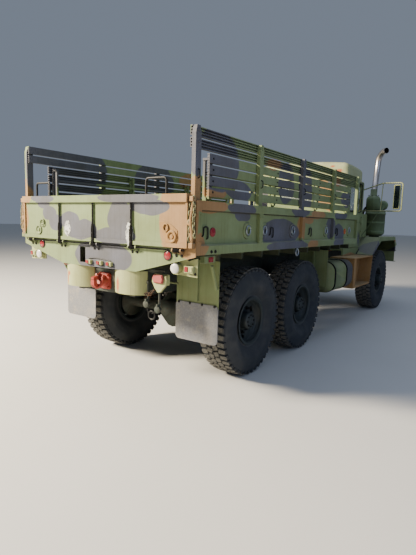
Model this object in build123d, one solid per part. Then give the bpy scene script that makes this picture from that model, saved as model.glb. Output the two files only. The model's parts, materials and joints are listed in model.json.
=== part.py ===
from build123d import *
import math
import os

# Millimetres. The front faces -Y, the left side is +X and the ground is Z = 0.
# The origin is on the ground under the middle of the overall box.

# Axles and overall length
rear_overhang = 1370.0
tandem_spacing = 1372.0
front_wheelbase = 3861.0
front_overhang = 1100.0
overall_length = rear_overhang + tandem_spacing + front_wheelbase + front_overhang
rear_axle_y = overall_length / 2 - rear_overhang
mid_axle_y = rear_axle_y - tandem_spacing
front_axle_y = mid_axle_y - front_wheelbase
front_end_y = -overall_length / 2
trunnion_y = (rear_axle_y + mid_axle_y) / 2

# Tyres and wheels
tyre_radius = 610.0
tyre_width = 372.0
tread_width = 300.0
tyre_wall = 26.0
rim_radius = 254.0
rim_width = 254.0
rim_wall = 9.0
rim_flange = 20.0
wheel_centre_x = 922.0
hub_z = tyre_radius
running_gap = 0.1
bead_gap = 0.3
rear_dish = 10.0
front_dish = 96.0
disc_wall = 14.0
bolt_face_radius = rim_radius - 86.0
hand_hole_count = 6
hand_hole_radius = rim_radius - 54.0
hand_hole_length = 78.0
hand_hole_width = 40.0
drum_radius = rim_radius - 49.0
drum_depth = 120.0
drum_wall = 14.0
spindle_radius = 48.0
hub_radius = 105.0
hub_reach = 112.0

# Frame rails
frame_half_width = 425.0
rail_flange = 76.0
rail_wall = 10.0
rail_height = 250.0
jounce_clearance = 110.0
long_sill_height = 130.0
bed_under_z = 2 * tyre_radius + jounce_clearance
frame_top_z = bed_under_z - long_sill_height
frame_bottom_z = frame_top_z - rail_height

# Bumper
bumper_half_width = 1160.0
bumper_height = 250.0
bumper_depth = 90.0
bumper_wall = 10.0
tow_eye_reach = 60.0
tow_eye_bore = 19.0
tow_eye_thickness = 30.0
bumper_front_y = front_end_y + tow_eye_reach
bumper_back_y = bumper_front_y + bumper_depth

# Cab
cab_half_width = 900.0
cab_depth = 1270.0
cowl_depth = 400.0
firewall_y = front_axle_y + 530.0
cab_rear_y = firewall_y + cab_depth
door_front_y = firewall_y + cowl_depth
cab_floor_z = frame_top_z + 100.0
cab_floor_thickness = 40.0
belt_z = cab_floor_z + 630.0
roof_seat_z = belt_z + 570.0
roof_rise = 325.0
roof_corner = 100.0
roof_front_round = 240.0
roof_rear_round = 110.0
roof_rim_round = 60.0
roof_overhang = 30.0
roof_wall = 12.0
roof_rim = 20.0
cab_wall = 40.0
door_gap = 8.0
door_thickness = 50.0
window_bar = 38.0
hinge_radius = 11.0
hinge_pin_radius = 5.0
rear_window_width = 760.0
rear_window_height = 330.0
rear_window_z = belt_z + 320.0

# Hood and fenders
hood_half_rear = 640.0
hood_half_front = 560.0
hood_rear_top_z = belt_z + 60.0
hood_front_top_z = belt_z - 10.0
hood_wall = 12.0
hood_gap = 10.0
hood_front_y = bumper_back_y + 40.0
fender_top_z = cab_floor_z + 190.0
fender_outer_x = 1190.0
fender_wall = 10.0
fender_front_y = front_axle_y - 760.0
fender_tail_y = firewall_y + 520.0
fender_tail_z = frame_top_z - 30.0

# Bed
tailgate_thickness = 57.0
tailgate_gap = 8.0
bed_half_width = 1238.0
side_depth = 120.0
bed_inner_half = bed_half_width - side_depth
bed_rear_y = overall_length / 2 - tailgate_gap - tailgate_thickness
bed_cab_gap = 380.0
bed_front_y = cab_rear_y + bed_cab_gap
floor_thickness = 30.0
headboard_thickness = 50.0
cross_sill_height = 110.0
floor_top_z = bed_under_z + cross_sill_height + floor_thickness
side_bottom_z = bed_under_z + 85.0
side_height = 460.0
side_top_z = side_bottom_z + side_height
rail_band = 78.0
panel_recess = 38.0
post_width = 76.0
post_count = 5

# Slatted racks and folding seats
stake_top_z = side_top_z + 605.0
stake_width = 76.0
stake_thickness = 40.0
stake_clearance = 0.5
stake_depth = 110.0
plank_height = 80.0
plank_pitch = 96.5
plank_thickness = 26.0
plank_rib = 8.0
backrest_planks = 2
seat_planks = 4
seat_end_inset = 260.0
seat_hinge_z = side_top_z + 34.0
leg_bar = 24.0
leg_pin_radius = 5.0
seat_pin_radius = 6.0
leg_count = 4
moving_gap = 6.0

# Tailgate and rear sill
tailgate_bottom_z = floor_top_z + 5.0
tailgate_top_z = side_top_z + 50.0
tailgate_half_width = 1180.0
tailgate_panel = 530.0
tailgate_bar = 68.0
tailgate_relief = 28.0
tailgate_rib = 24.0
tailgate_rib_depth = 14.0
tailgate_loop_x = 820.0
tailgate_loop_half = 118.0
tailgate_loop_height = 140.0
tailgate_hinge_z = floor_top_z - 18.0
tailgate_hinge_y = bed_rear_y + 32.0
tailgate_hinge_radius = 16.0
tailgate_pin_radius = 7.0
sill_bottom_z = bed_under_z - 110.0
sill_half_bottom = 540.0
sill_wall = 8.0
lamp_plate_inner_x = 940.0
lamp_plate_outer_x = 1213.0
lamp_z = bed_under_z - 40.0
round_lamp_x = 1000.0
round_lamp_radius = 48.0
square_lamp_x = 1140.0

# Axles and springs
axle_tube_radius = 72.0
kingpin_x = 735.0
kingpin_radius = 24.0
yoke_gap = 130.0
yoke_thickness = 34.0
front_spring_half = 560.0
front_spring_leaf = 12.0
front_spring_leaves = 5
front_hanger_drop = 98.0
front_spring_rise = frame_bottom_z - front_hanger_drop - hub_z - axle_tube_radius
front_spring_rise = front_spring_rise - front_spring_leaves * front_spring_leaf
rear_spring_rise = 90.0
rear_spring_leaf = 14.0
rear_spring_leaves = 8
trunnion_lift = 90.0
bowl_half_depth = 120.0
bowl_nose = 140.0

# Engine and driveline
engine_half_width = 300.0
engine_bottom_z = frame_bottom_z + 60.0
driveline_z = frame_bottom_z + 60.0
gearbox_length = 900.0
gearbox_radius = 165.0
bell_radius = 200.0
transfer_case_y = cab_rear_y + 330.0
transfer_case_length = 300.0
shaft_radius = 38.0
flange_radius = 62.0
flange_gap = 0.3

# Cab fittings
hood_hinge_y = hood_front_y - 14.0
hood_hinge_z = frame_top_z + 14.3
hood_tab_inset = 85.0
roof_front_y = door_front_y - door_gap - 90.0
hinge_x = cab_half_width + 13.0
hinge_y = door_front_y - 2.0
pane_bar = 60.0
pane_centre_bar = 22.0
steering_x = 520.0
steering_wheel_radius = 235.0
column_angle = 55.0
column_reach = 760.0
column_foot_reach = 245.0
mirror_reach = 1592.0
mirror_head_x = 1508.0
mirror_bar_radius = 11.0

# Cab seats. Columns: centre x, half width
seat_table = [(520.0, 250.0), (-330.0, 460.0)]
seat_base_z = 300.0
seat_cushion_height = 130.0
seat_depth = 480.0
seat_back_height = 520.0
seat_back_thickness = 110.0

# Air cleaner and exhaust on the right
canister_x = -1000.0
canister_y = firewall_y - 205.0
canister_radius = 186.0
canister_top_z = belt_z + 80.0
shield_radius = 132.0
shield_height = 290.0
stack_radius = 55.0
stack_wall = 4.0
stack_tip_z = roof_seat_z + 640.0
stack_lean = 50.0
stack_bend = 200.0
stack_reach = 215.0
stack_heading = 40.0

# Fuel tank, step boxes and air tanks
tank_rear_y = bed_front_y + 940.0
tank_length = 870.0
tank_height = 460.0
tank_corner = 150.0
tank_inner_x = 620.0
tank_outer_x = bed_half_width - 20.0
tank_strap = 50.0
step_box_front_y = door_front_y + 165.0
step_box_rake = 110.0
step_box_rear_y = cab_rear_y + 370.0
step_box_wall = 14.0
step_well_x = 990.0
step_well_rear_y = step_box_rear_y - 120.0
step_box_outer_x = 1215.0
step_box_inner_x = 800.0
step_box_low_z = frame_bottom_z - 290.0
step_box_high_z = fender_tail_z - 6.0
air_tank_radius = 115.0
air_tank_length = 680.0
air_tank_x = frame_half_width + 330.0

# Rear end
rail_rear_y = bed_rear_y - 115.0
splash_rear_y = rear_axle_y + tyre_radius + 185.0
splash_front_y = mid_axle_y - tyre_radius - 46.0
flap_width = 520.0
flap_height = 390.0
hook_z = frame_bottom_z + 125.0
bumperette_x = 375.0
bumperette_half = 215.0
bumperette_bow = 105.0
bumperette_wall = 12.0


def block(x, y, z):
    """A box from a pair of limits on each axis."""
    size = [limit[1] - limit[0] for limit in (x, y, z)]
    centre = [(limit[0] + limit[1]) / 2 for limit in (x, y, z)]
    return Pos(*centre) * Box(*size)


def outline(*points):
    """A flat closed outline through the points."""
    return make_face(Polyline(*points, close=True))


def along_x(sketch, x_start, x_end):
    """A sketch drawn in (y, z), extruded between two x values."""
    return Pos(x_start, 0, 0) * extrude(Plane.YZ * sketch, amount=x_end - x_start)


def along_y(sketch, y_start, y_end):
    """A sketch drawn in (x, z), extruded between two y values."""
    return Pos(0, y_end, 0) * extrude(Plane.XZ * sketch, amount=y_end - y_start)


def along_z(sketch, z_start, z_end):
    """A sketch drawn in (x, y), extruded between two z values."""
    return Pos(0, 0, z_start) * extrude(sketch, amount=z_end - z_start)


def rod(start, end, radius):
    """A straight round bar between two points."""
    axis = Vector(*end) - Vector(*start)
    return extrude(Plane(origin=start, z_dir=axis) * Circle(radius), amount=axis.length)


def bent_rod(points, radius, bend):
    """A round bar through points, with each corner bent to one radius."""
    path = FilletPolyline(*points, radius=bend)
    section = Plane(origin=path @ 0, z_dir=path % 0) * Circle(radius)
    return sweep(section, path=path)


def tube_x(centre, radius, x_start, x_end):
    """A round bar along X about a (y, z) centre."""
    return along_x(Pos(*centre) * Circle(radius), x_start, x_end)


def fused(pieces):
    """The pieces as one shape: those that meet become one solid."""
    return Part() + list(pieces)


def mirrored(shape):
    """The shape on the other side of the truck."""
    return mirror(shape, Plane.YZ)


def pair(shape):
    """The shape and its mirror image, as one node."""
    return fused([shape, mirrored(shape)])


def spread(first, last, count):
    """Evenly spaced values from first to last."""
    return [first + (last - first) * index / (count - 1) for index in range(count)]


def chassis_frame():
    """Two channel rails that open inwards, with channel cross members."""
    inner_x = frame_half_width - rail_flange
    web_x = frame_half_width - rail_wall
    low_z = frame_bottom_z + rail_wall
    high_z = frame_top_z - rail_wall
    section = outline(
        (frame_half_width, frame_bottom_z),
        (frame_half_width, frame_top_z),
        (inner_x, frame_top_z),
        (inner_x, high_z),
        (web_x, high_z),
        (web_x, low_z),
        (inner_x, low_z),
        (inner_x, frame_bottom_z),
    )
    rail = along_y(section, bumper_back_y, rail_rear_y)
    pieces = [rail, mirrored(rail)]
    # Columns: y of the web, depth of the flanges towards the rear, bottom z, top z
    members = [
        (hood_front_y + 90.0, 60.0, low_z, high_z),
        (front_axle_y - 430.0, 60.0, low_z, engine_bottom_z),
        (firewall_y - 160.0, 60.0, low_z, engine_bottom_z),
        (cab_rear_y + 60.0, 60.0, frame_top_z - 90.0, high_z),
        (mid_axle_y - 900.0, 60.0, low_z, high_z),
        (trunnion_y - 60.0, 120.0, low_z, high_z),
        (rail_rear_y - 80.0, 80.0, low_z, high_z),
    ]
    for web_y, depth, bottom_z, top_z in members:
        profile = outline(
            (web_y, bottom_z),
            (web_y + depth, bottom_z),
            (web_y + depth, bottom_z + rail_wall),
            (web_y + rail_wall, bottom_z + rail_wall),
            (web_y + rail_wall, top_z - rail_wall),
            (web_y + depth, top_z - rail_wall),
            (web_y + depth, top_z),
            (web_y, top_z),
        )
        pieces.append(along_x(profile, -web_x, web_x))
    rear_plate = block((-web_x, web_x), (rail_rear_y - rail_wall, rail_rear_y), (low_z, high_z))
    pieces.append(rear_plate)
    return fused(pieces)


def front_bumper():
    """A channel bumper with cut corners and two pairs of tow eyes."""
    top_z = frame_top_z - 20.0
    bottom_z = top_z - bumper_height
    profile = outline(
        (bumper_front_y, bottom_z),
        (bumper_front_y, top_z),
        (bumper_back_y, top_z),
        (bumper_back_y, top_z - bumper_wall),
        (bumper_front_y + bumper_wall, top_z - bumper_wall),
        (bumper_front_y + bumper_wall, bottom_z + bumper_wall),
        (bumper_back_y, bottom_z + bumper_wall),
        (bumper_back_y, bottom_z),
    )
    beam = along_x(profile, -bumper_half_width, bumper_half_width)
    corner = outline(
        (bumper_half_width + 1, bumper_front_y + 55.0),
        (bumper_half_width + 1, bumper_front_y - 1),
        (bumper_half_width - 60.0, bumper_front_y - 1),
    )
    corner_cut = along_z(corner, bottom_z - 1, top_z + 1)
    beam = beam - corner_cut - mirrored(corner_cut)
    web = block(
        (frame_half_width - 2 * rail_wall, frame_half_width),
        (bumper_front_y + bumper_wall, bumper_back_y),
        (bottom_z + bumper_wall, top_z - bumper_wall),
    )
    pieces = [beam, web, mirrored(web)]
    eye_z = (top_z + bottom_z) / 2
    eye_radius = 38.0
    for centre_x in (frame_half_width, -frame_half_width):
        centre_y = front_end_y + eye_radius
        eye = Pos(centre_y, eye_z) * Circle(eye_radius)
        arm = Pos((centre_y + bumper_front_y) / 2, eye_z) * Rectangle(bumper_front_y - centre_y, 2 * eye_radius)
        hole = Pos(centre_y, eye_z) * Circle(tow_eye_bore)
        half = tow_eye_thickness / 2
        pieces.append(along_x(eye + arm - hole, centre_x - half, centre_x + half))
    return fused(pieces)


def leaf_pack(centre_x, centre_y, seat_z, half_length, rise, leaves, leaf_height, width):
    """Stacked arched leaves, shorter away from the main leaf, with rolled eyes."""
    pieces = []
    direction = 1 if rise > 0 else -1
    for index in range(leaves):
        reach = half_length * (1 - 0.8 * index / leaves)
        lift = rise * (reach / half_length) ** 2
        low = seat_z + direction * (leaves - 1 - index) * leaf_height
        start = (centre_y - reach, low + lift)
        middle = (centre_y, low)
        end = (centre_y + reach, low + lift)
        lower = ThreePointArc(start, middle, end)
        upper = ThreePointArc(
            (end[0], end[1] + leaf_height),
            (middle[0], middle[1] + leaf_height),
            (start[0], start[1] + leaf_height),
        )
        sides = Line(end, (end[0], end[1] + leaf_height)) + Line((start[0], start[1] + leaf_height), start)
        pieces.append(along_x(make_face(lower + sides + upper), centre_x - width / 2, centre_x + width / 2))
    return fused(pieces)


def leaf_springs():
    """Front springs under the rails and the rear tandem springs on their trunnions."""
    pieces = []
    front_seat_z = hub_z + axle_tube_radius
    top_leaf_z = front_seat_z + (front_spring_leaves - 1) * front_spring_leaf
    front = leaf_pack(
        centre_x=frame_half_width - 50.0,
        centre_y=front_axle_y,
        seat_z=front_seat_z,
        half_length=front_spring_half,
        rise=front_spring_rise,
        leaves=front_spring_leaves,
        leaf_height=front_spring_leaf,
        width=70.0,
    )
    eye_z = top_leaf_z + front_spring_rise + front_spring_leaf / 2
    for end_y in (front_axle_y - front_spring_half, front_axle_y + front_spring_half):
        centre_x = frame_half_width - 50.0
        hanger = block((centre_x - 25.0, centre_x + 25.0), (end_y - 30.0, end_y + 30.0), (eye_z, frame_bottom_z))
        front = front + [hanger, tube_x((end_y, eye_z), 26.0, centre_x - 35.0, centre_x + 35.0)]
    pieces.append(front)
    rear_x = frame_half_width + 65.0
    trunnion_z = hub_z + axle_tube_radius + trunnion_lift
    rear = leaf_pack(
        centre_x=rear_x,
        centre_y=trunnion_y,
        seat_z=trunnion_z + (rear_spring_leaves - 1) * rear_spring_leaf,
        half_length=tandem_spacing / 2 + 60.0,
        rise=-rear_spring_rise,
        leaves=rear_spring_leaves,
        leaf_height=rear_spring_leaf,
        width=90.0,
    )
    pieces.append(rear)
    shaft = tube_x((trunnion_y, trunnion_z), 52.0, 0, rear_x + 60.0)
    pieces.append(shaft)
    bracket = outline(
        (trunnion_y - 60.0, trunnion_z - 30.0),
        (trunnion_y + 60.0, trunnion_z - 30.0),
        (trunnion_y + 190.0, frame_bottom_z),
        (trunnion_y - 190.0, frame_bottom_z),
    )
    pieces.append(along_x(bracket, frame_half_width - 50.0, frame_half_width - 20.0))
    return pair(fused(pieces))


def axle_bowl(centre_y):
    """The banjo bowl of a drive axle with its top-mounted gear case."""
    banjo = outline(
        (0, -215.0),
        (70.0, -200.0),
        (190.0, -85.0),
        (190.0, 85.0),
        (70.0, 200.0),
        (0, 215.0),
    )
    half = Pos(0, centre_y - bowl_half_depth, hub_z) * extrude(Plane.XZ * banjo, amount=-2 * bowl_half_depth)
    bowl = half + mirrored(half)
    nose = Pos(0, centre_y, hub_z + 40.0) * extrude(Plane.XZ * Circle(95.0), amount=-bowl_half_depth - bowl_nose)
    return bowl + nose


def rear_axles():
    """Two drive axles with spring pads, brake backing plates and spindles."""
    pieces = []
    plate_x = wheel_centre_x + rear_dish - drum_depth - moving_gap
    for centre_y in (mid_axle_y, rear_axle_y):
        tube = tube_x((centre_y, hub_z), axle_tube_radius, 0, plate_x)
        plate = tube_x((centre_y, hub_z), drum_radius, plate_x - 10.0, plate_x)
        spindle = tube_x((centre_y, hub_z), spindle_radius, plate_x, wheel_centre_x + rear_dish)
        pieces.append(pair(fused([tube, plate, spindle])) + axle_bowl(centre_y))
    return fused(pieces)


def front_axle():
    """The front drive axle with a yoke round each kingpin."""
    tube = tube_x((front_axle_y, hub_z), axle_tube_radius, 0, kingpin_x - 120.0)
    arms = []
    for sign in (1, -1):
        inner = hub_z + sign * yoke_gap
        outer = inner + sign * yoke_thickness
        arms.append(block(
            (kingpin_x - 150.0, kingpin_x + 40.0),
            (front_axle_y - 45.0, front_axle_y + 45.0),
            (min(inner, outer), max(inner, outer)),
        ))
    web = block(
        (kingpin_x - 150.0, kingpin_x - 118.0),
        (front_axle_y - 45.0, front_axle_y + 45.0),
        (hub_z - yoke_gap - yoke_thickness, hub_z + yoke_gap + yoke_thickness),
    )
    bore = Pos(kingpin_x, front_axle_y, hub_z) * Cylinder(kingpin_radius + running_gap, 400.0)
    return pair(fused([tube, web] + arms) - bore) + axle_bowl(front_axle_y)


def steering_knuckle():
    """The left knuckle: kingpin, ball housing, backing plate, spindle and steering arm."""
    plate_x = wheel_centre_x + front_dish - drum_depth - moving_gap
    pin_half = yoke_gap + 30.0
    pin = Pos(kingpin_x, front_axle_y, hub_z) * Cylinder(kingpin_radius, 2 * pin_half)
    ball = Pos(kingpin_x, front_axle_y, hub_z) * Sphere(100.0)
    body = tube_x((front_axle_y, hub_z), 90.0, kingpin_x, plate_x)
    plate = tube_x((front_axle_y, hub_z), drum_radius, plate_x - 10.0, plate_x)
    spindle = tube_x((front_axle_y, hub_z), spindle_radius, plate_x, wheel_centre_x + front_dish)
    arm = along_z(outline(
        (kingpin_x + 40.0, front_axle_y + 40.0),
        (kingpin_x - 40.0, front_axle_y + 40.0),
        (kingpin_x - 75.0, front_axle_y + 230.0),
        (kingpin_x - 35.0, front_axle_y + 230.0),
    ), hub_z - 60.0, hub_z - 30.0)
    return fused([pin, ball, body, plate, spindle, arm])


def tyre(centre_y):
    """A left tyre: rounded shoulders, open inside towards the rim."""
    half = tyre_width / 2
    half_tread = tread_width / 2
    bead_x = rim_width / 2 - 14.0
    bead_radius = rim_radius + bead_gap
    wall_height = tyre_radius - bead_radius
    flange_radius = bead_radius + 30.0
    shoulder_x = half_tread + 16.0
    shoulder_radius = tyre_radius - 40.0
    inside_radius = tyre_radius - 46.0
    # Columns: half width, radius
    outer_side = [
        (bead_x, bead_radius),
        (bead_x, flange_radius),
        (half - 14.0, bead_radius + 0.26 * wall_height),
        (half, bead_radius + 0.48 * wall_height),
        (half - 6.0, bead_radius + 0.70 * wall_height),
        (shoulder_x, shoulder_radius),
        (half_tread, tyre_radius - 6.0),
        (0.6 * half_tread, tyre_radius),
    ]
    inner_side = [
        (bead_x - tyre_wall, bead_radius - 1),
        (bead_x - tyre_wall, flange_radius + 10.0),
        (half - tyre_wall, bead_radius + 0.45 * wall_height),
        (half_tread - 20.0, inside_radius),
    ]
    outer = outline(*outer_side, *[(-x, radius) for x, radius in reversed(outer_side)])
    inner = outline(*inner_side, *[(-x, radius) for x, radius in reversed(inner_side)])
    return Pos(wheel_centre_x, centre_y, hub_z) * revolve(outer - inner, Axis.X, 360)


def wheel(centre_y, dish):
    """A left wheel: rim, dished disc with hand holes, hub and brake drum."""
    half = rim_width / 2
    inner = rim_radius - rim_wall
    flange = rim_radius + rim_flange
    rim = outline(
        (half + 8.0, flange),
        (half, flange),
        (half, rim_radius),
        (60.0, rim_radius),
        (45.0, rim_radius - 18.0),
        (-45.0, rim_radius - 18.0),
        (-60.0, rim_radius),
        (-half, rim_radius),
        (-half, flange),
        (-half - 8.0, flange),
        (-half - 6.0, inner),
        (-66.0, inner),
        (-50.0, inner - 18.0),
        (50.0, inner - 18.0),
        (66.0, inner),
        (half + 6.0, inner),
    )
    seat_x = 52.0 if dish > 50.0 else 30.0
    disc = outline(
        (seat_x, inner - 17.0),
        (seat_x - 18.0, inner - 17.0),
        (dish - disc_wall, bolt_face_radius + 12.0),
        (dish - disc_wall, 70.0),
        (dish, 70.0),
        (dish, bolt_face_radius),
        (seat_x, inner - 26.0),
    )
    bore = spindle_radius + running_gap
    hub = outline(
        (dish - 2 * disc_wall, hub_radius + 30.0),
        (dish - 2 * disc_wall, bore),
        (dish + 0.5, bore),
        (dish + 0.5, 0),
        (dish + hub_reach, 0),
        (dish + hub_reach, hub_radius - 22.0),
        (dish + hub_reach - 14.0, hub_radius - 8.0),
        (dish, hub_radius),
        (dish - disc_wall, hub_radius + 30.0),
    )
    drum_back = dish - 2 * disc_wall
    drum = outline(
        (drum_back, bore),
        (drum_back, drum_radius),
        (dish - drum_depth, drum_radius),
        (dish - drum_depth, drum_radius - drum_wall),
        (drum_back - drum_wall, drum_radius - drum_wall),
        (drum_back - drum_wall, bore),
    )
    backing = outline(
        (dish - disc_wall, 70.0),
        (dish - disc_wall, bolt_face_radius),
        (drum_back, bolt_face_radius),
        (drum_back, 70.0),
    )
    shape = revolve(rim + disc + hub + drum + backing, Axis.X, 360)
    for index in range(hand_hole_count):
        angle = 360.0 * index / hand_hole_count
        slot = Rot(angle, 0, 0) * Pos(0, 0, hand_hole_radius)
        profile = slot * (Plane.YZ * SlotOverall(hand_hole_length, hand_hole_width))
        hole_start = min(seat_x - 20.0, dish - disc_wall) - 2.0
        hole_end = max(seat_x, dish) + 2.0
        shape = shape - Pos(hole_start, 0, 0) * extrude(profile, amount=hole_end - hole_start)
    return Pos(wheel_centre_x, centre_y, hub_z) * shape


def engine_block():
    """The engine as one plain mass on its mounts."""
    return block(
        (-engine_half_width, engine_half_width),
        (front_axle_y - 470.0, firewall_y - 60.0),
        (engine_bottom_z, belt_z - 130.0),
    )


def radiator():
    """The radiator core and header tanks on the front cross member."""
    front_y = hood_front_y + 95.0
    core = block((-400.0, 400.0), (front_y, front_y + 70.0), (frame_top_z - rail_wall + 60.0, belt_z - 110.0))
    tank = along_x(
        Pos(front_y + 35.0, belt_z - 90.0) * RectangleRounded(110.0, 80.0, 24.0), -410.0, 410.0
    )
    foot = block((-330.0, 330.0), (front_y, front_y + 50.0), (frame_top_z - rail_wall, frame_top_z + 50.0))
    return fused([core, tank, foot])


def transmission():
    """Gearbox and transfer case hung between the rails."""
    gearbox_start = firewall_y - 59.0
    gearbox_end = gearbox_start + gearbox_length
    case_start = gearbox_start + 260.0
    bell = loft([
        Plane(origin=(0, gearbox_start, driveline_z), z_dir=(0, 1, 0)) * Circle(bell_radius),
        Plane(origin=(0, case_start, driveline_z), z_dir=(0, 1, 0)) * Circle(gearbox_radius),
    ])
    case = rod((0, case_start, driveline_z), (0, gearbox_end, driveline_z), gearbox_radius)
    half = transfer_case_length / 2
    transfer = along_x(
        Pos(transfer_case_y, frame_bottom_z - 20.0) * RectangleRounded(transfer_case_length, 420.0, 110.0),
        -150.0,
        150.0,
    )
    jack_shaft = rod((0, gearbox_end, driveline_z), (0, transfer_case_y - half, driveline_z), 40.0)
    hanger = block(
        (-frame_half_width + rail_wall, frame_half_width - rail_wall),
        (transfer_case_y - 40.0, transfer_case_y + 40.0),
        (driveline_z + 40.0, driveline_z + 60.0),
    )
    return fused([bell, case, transfer, jack_shaft, hanger])


def drive_shafts():
    """Propeller shafts between the transfer case and the three drive axles."""
    case_reach = transfer_case_length / 2 + flange_gap
    bowl_reach = bowl_half_depth + flange_gap
    nose_reach = bowl_half_depth + bowl_nose + flange_gap
    case_z = frame_bottom_z - 160.0
    axle_z = hub_z + 40.0
    # Columns: start y, start z, end y, end z
    runs = [
        (transfer_case_y - case_reach, case_z, front_axle_y + nose_reach, axle_z),
        (transfer_case_y + case_reach, case_z, mid_axle_y - bowl_reach, axle_z),
        (mid_axle_y + nose_reach, axle_z, rear_axle_y - bowl_reach, axle_z),
    ]
    pieces = []
    for start_y, start_z, end_y, end_z in runs:
        reach = math.copysign(50.0, end_y - start_y)
        near = (0, start_y + reach, start_z)
        far = (0, end_y - reach, end_z)
        pieces.append(fused([
            rod((0, start_y, start_z), near, flange_radius),
            rod(near, far, shaft_radius),
            rod(far, (0, end_y, end_z), flange_radius),
        ]))
    return fused(pieces)


def hood_section(y, half_width, bottom_z, top_z, corner):
    """A hood cross section with rounded top corners, at one station."""
    sketch = outline(
        (-half_width, bottom_z),
        (half_width, bottom_z),
        (half_width - 25.0, top_z),
        (25.0 - half_width, top_z),
    )
    top_corners = sketch.vertices().sort_by(Axis.Y)[-2:]
    return Pos(0, y, 0) * (Plane.XZ * fillet(top_corners, corner))


def hood():
    """The tilting hood: a lofted shell with a slatted grille in its nose."""
    rear_y = firewall_y - hood_gap
    bottom_z = fender_top_z + hood_gap
    nose_z = frame_top_z + 30.0
    outer = loft([
        hood_section(rear_y, hood_half_rear, bottom_z, hood_rear_top_z, 80.0),
        hood_section(hood_front_y, hood_half_front, bottom_z, hood_front_top_z, 80.0),
    ])
    inner = loft([
        hood_section(rear_y + 1, hood_half_rear - hood_wall, bottom_z - 1, hood_rear_top_z - hood_wall, 70.0),
        hood_section(hood_front_y + hood_wall, hood_half_front - hood_wall, bottom_z - 1,
                     hood_front_top_z - hood_wall, 70.0),
    ])
    nose_back_y = fender_front_y - hood_gap
    nose_half = hood_half_front
    nose = block((-nose_half, nose_half), (hood_front_y, nose_back_y), (nose_z, bottom_z + 1))
    nose_inside = block((-nose_half + hood_wall, nose_half - hood_wall), (hood_front_y + hood_wall, nose_back_y + 1),
                        (nose_z - 1, bottom_z + 2))
    shell = outer - inner + (nose - nose_inside)
    grille_half = nose_half - 70.0
    grille_low = nose_z + 60.0
    grille_high = hood_front_top_z - 110.0
    window = Pos(0, (grille_low + grille_high) / 2) * RectangleRounded(
        2 * grille_half, grille_high - grille_low, 40.0)
    shell = shell - along_y(window, hood_front_y - 1, hood_front_y + hood_wall + 1)
    slats = []
    slat = along_z(outline(
        (-5.0, hood_front_y + 2.0),
        (5.0, hood_front_y + 2.0),
        (13.0, hood_front_y + 34.0),
        (3.0, hood_front_y + 34.0),
    ), grille_low - 10.0, grille_high + 10.0)
    for x in spread(-grille_half + 44.0, grille_half - 44.0, 15):
        slats.append(Pos(x, 0, 0) * slat)
    for z in (grille_low - 12.0, grille_high):
        slats.append(block((-grille_half, grille_half), (hood_front_y + hood_wall, hood_front_y + 34.0), (z, z + 12.0)))
    tab_x = frame_half_width - hood_tab_inset
    hinge = tube_x((hood_hinge_y, hood_hinge_z), 14.0, tab_x - 40.0, tab_x + 40.0)
    tab = block(
        (tab_x - 15.0, tab_x + 15.0),
        (hood_front_y - 14.0, hood_front_y),
        (hood_hinge_z, nose_z + 60.0),
    )
    return fused([shell] + slats + [hinge, tab, mirrored(hinge), mirrored(tab)])


def fender():
    """The left fender: flat top, sloping tail, open arch and inner apron."""
    inner_x = hood_half_rear + hood_gap
    side = outline(
        (fender_tail_y, fender_tail_z),
        (firewall_y + 30.0, fender_top_z),
        (fender_front_y + 110.0, fender_top_z),
        (fender_front_y, fender_top_z - 130.0),
        (fender_front_y, fender_tail_z),
    )
    hollow = outline(
        (fender_tail_y - 14.0, fender_tail_z - 1),
        (firewall_y + 25.0, fender_top_z - fender_wall),
        (fender_front_y + 114.0, fender_top_z - fender_wall),
        (fender_front_y + fender_wall, fender_top_z - 130.0 - 4.0),
        (fender_front_y + fender_wall, fender_tail_z - 1),
    )
    arch = outline(
        (fender_tail_y - 60.0, fender_tail_z - 1),
        (firewall_y - 60.0, fender_top_z - 75.0),
        (fender_front_y + 160.0, fender_top_z - 75.0),
        (fender_front_y + 60.0, fender_top_z - 190.0),
        (fender_front_y + 60.0, fender_tail_z - 1),
    )
    body = along_x(side, inner_x, fender_outer_x)
    body = body - along_x(hollow, inner_x - 1, fender_outer_x - fender_wall)
    body = body - along_x(arch, inner_x - 1, fender_outer_x + 1)
    cab_room = block((inner_x - 1, cab_half_width + 5.0), (door_front_y - 25.0, fender_tail_y + 1),
                     (fender_tail_z - 2, fender_top_z + 1))
    return body - cab_room


def headlamps():
    """Round headlamps with bezels on the fender fronts, and turn lamps beside them."""
    lamp_x = fender_outer_x - 210.0
    lamp_z = fender_top_z - 215.0
    bowl = rod((lamp_x, fender_front_y - 0.3, lamp_z), (lamp_x, fender_front_y - 60.0, lamp_z), 96.0)
    bowl = chamfer(bowl.edges().sort_by(Axis.Y)[0], 16.0)
    turn_x = fender_outer_x - 46.0
    turn_z = fender_top_z - 170.0
    turn = rod((turn_x, fender_front_y - 0.3, turn_z), (turn_x, fender_front_y - 70.0, turn_z), 44.0)
    return pair(fused([bowl, turn]))


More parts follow.
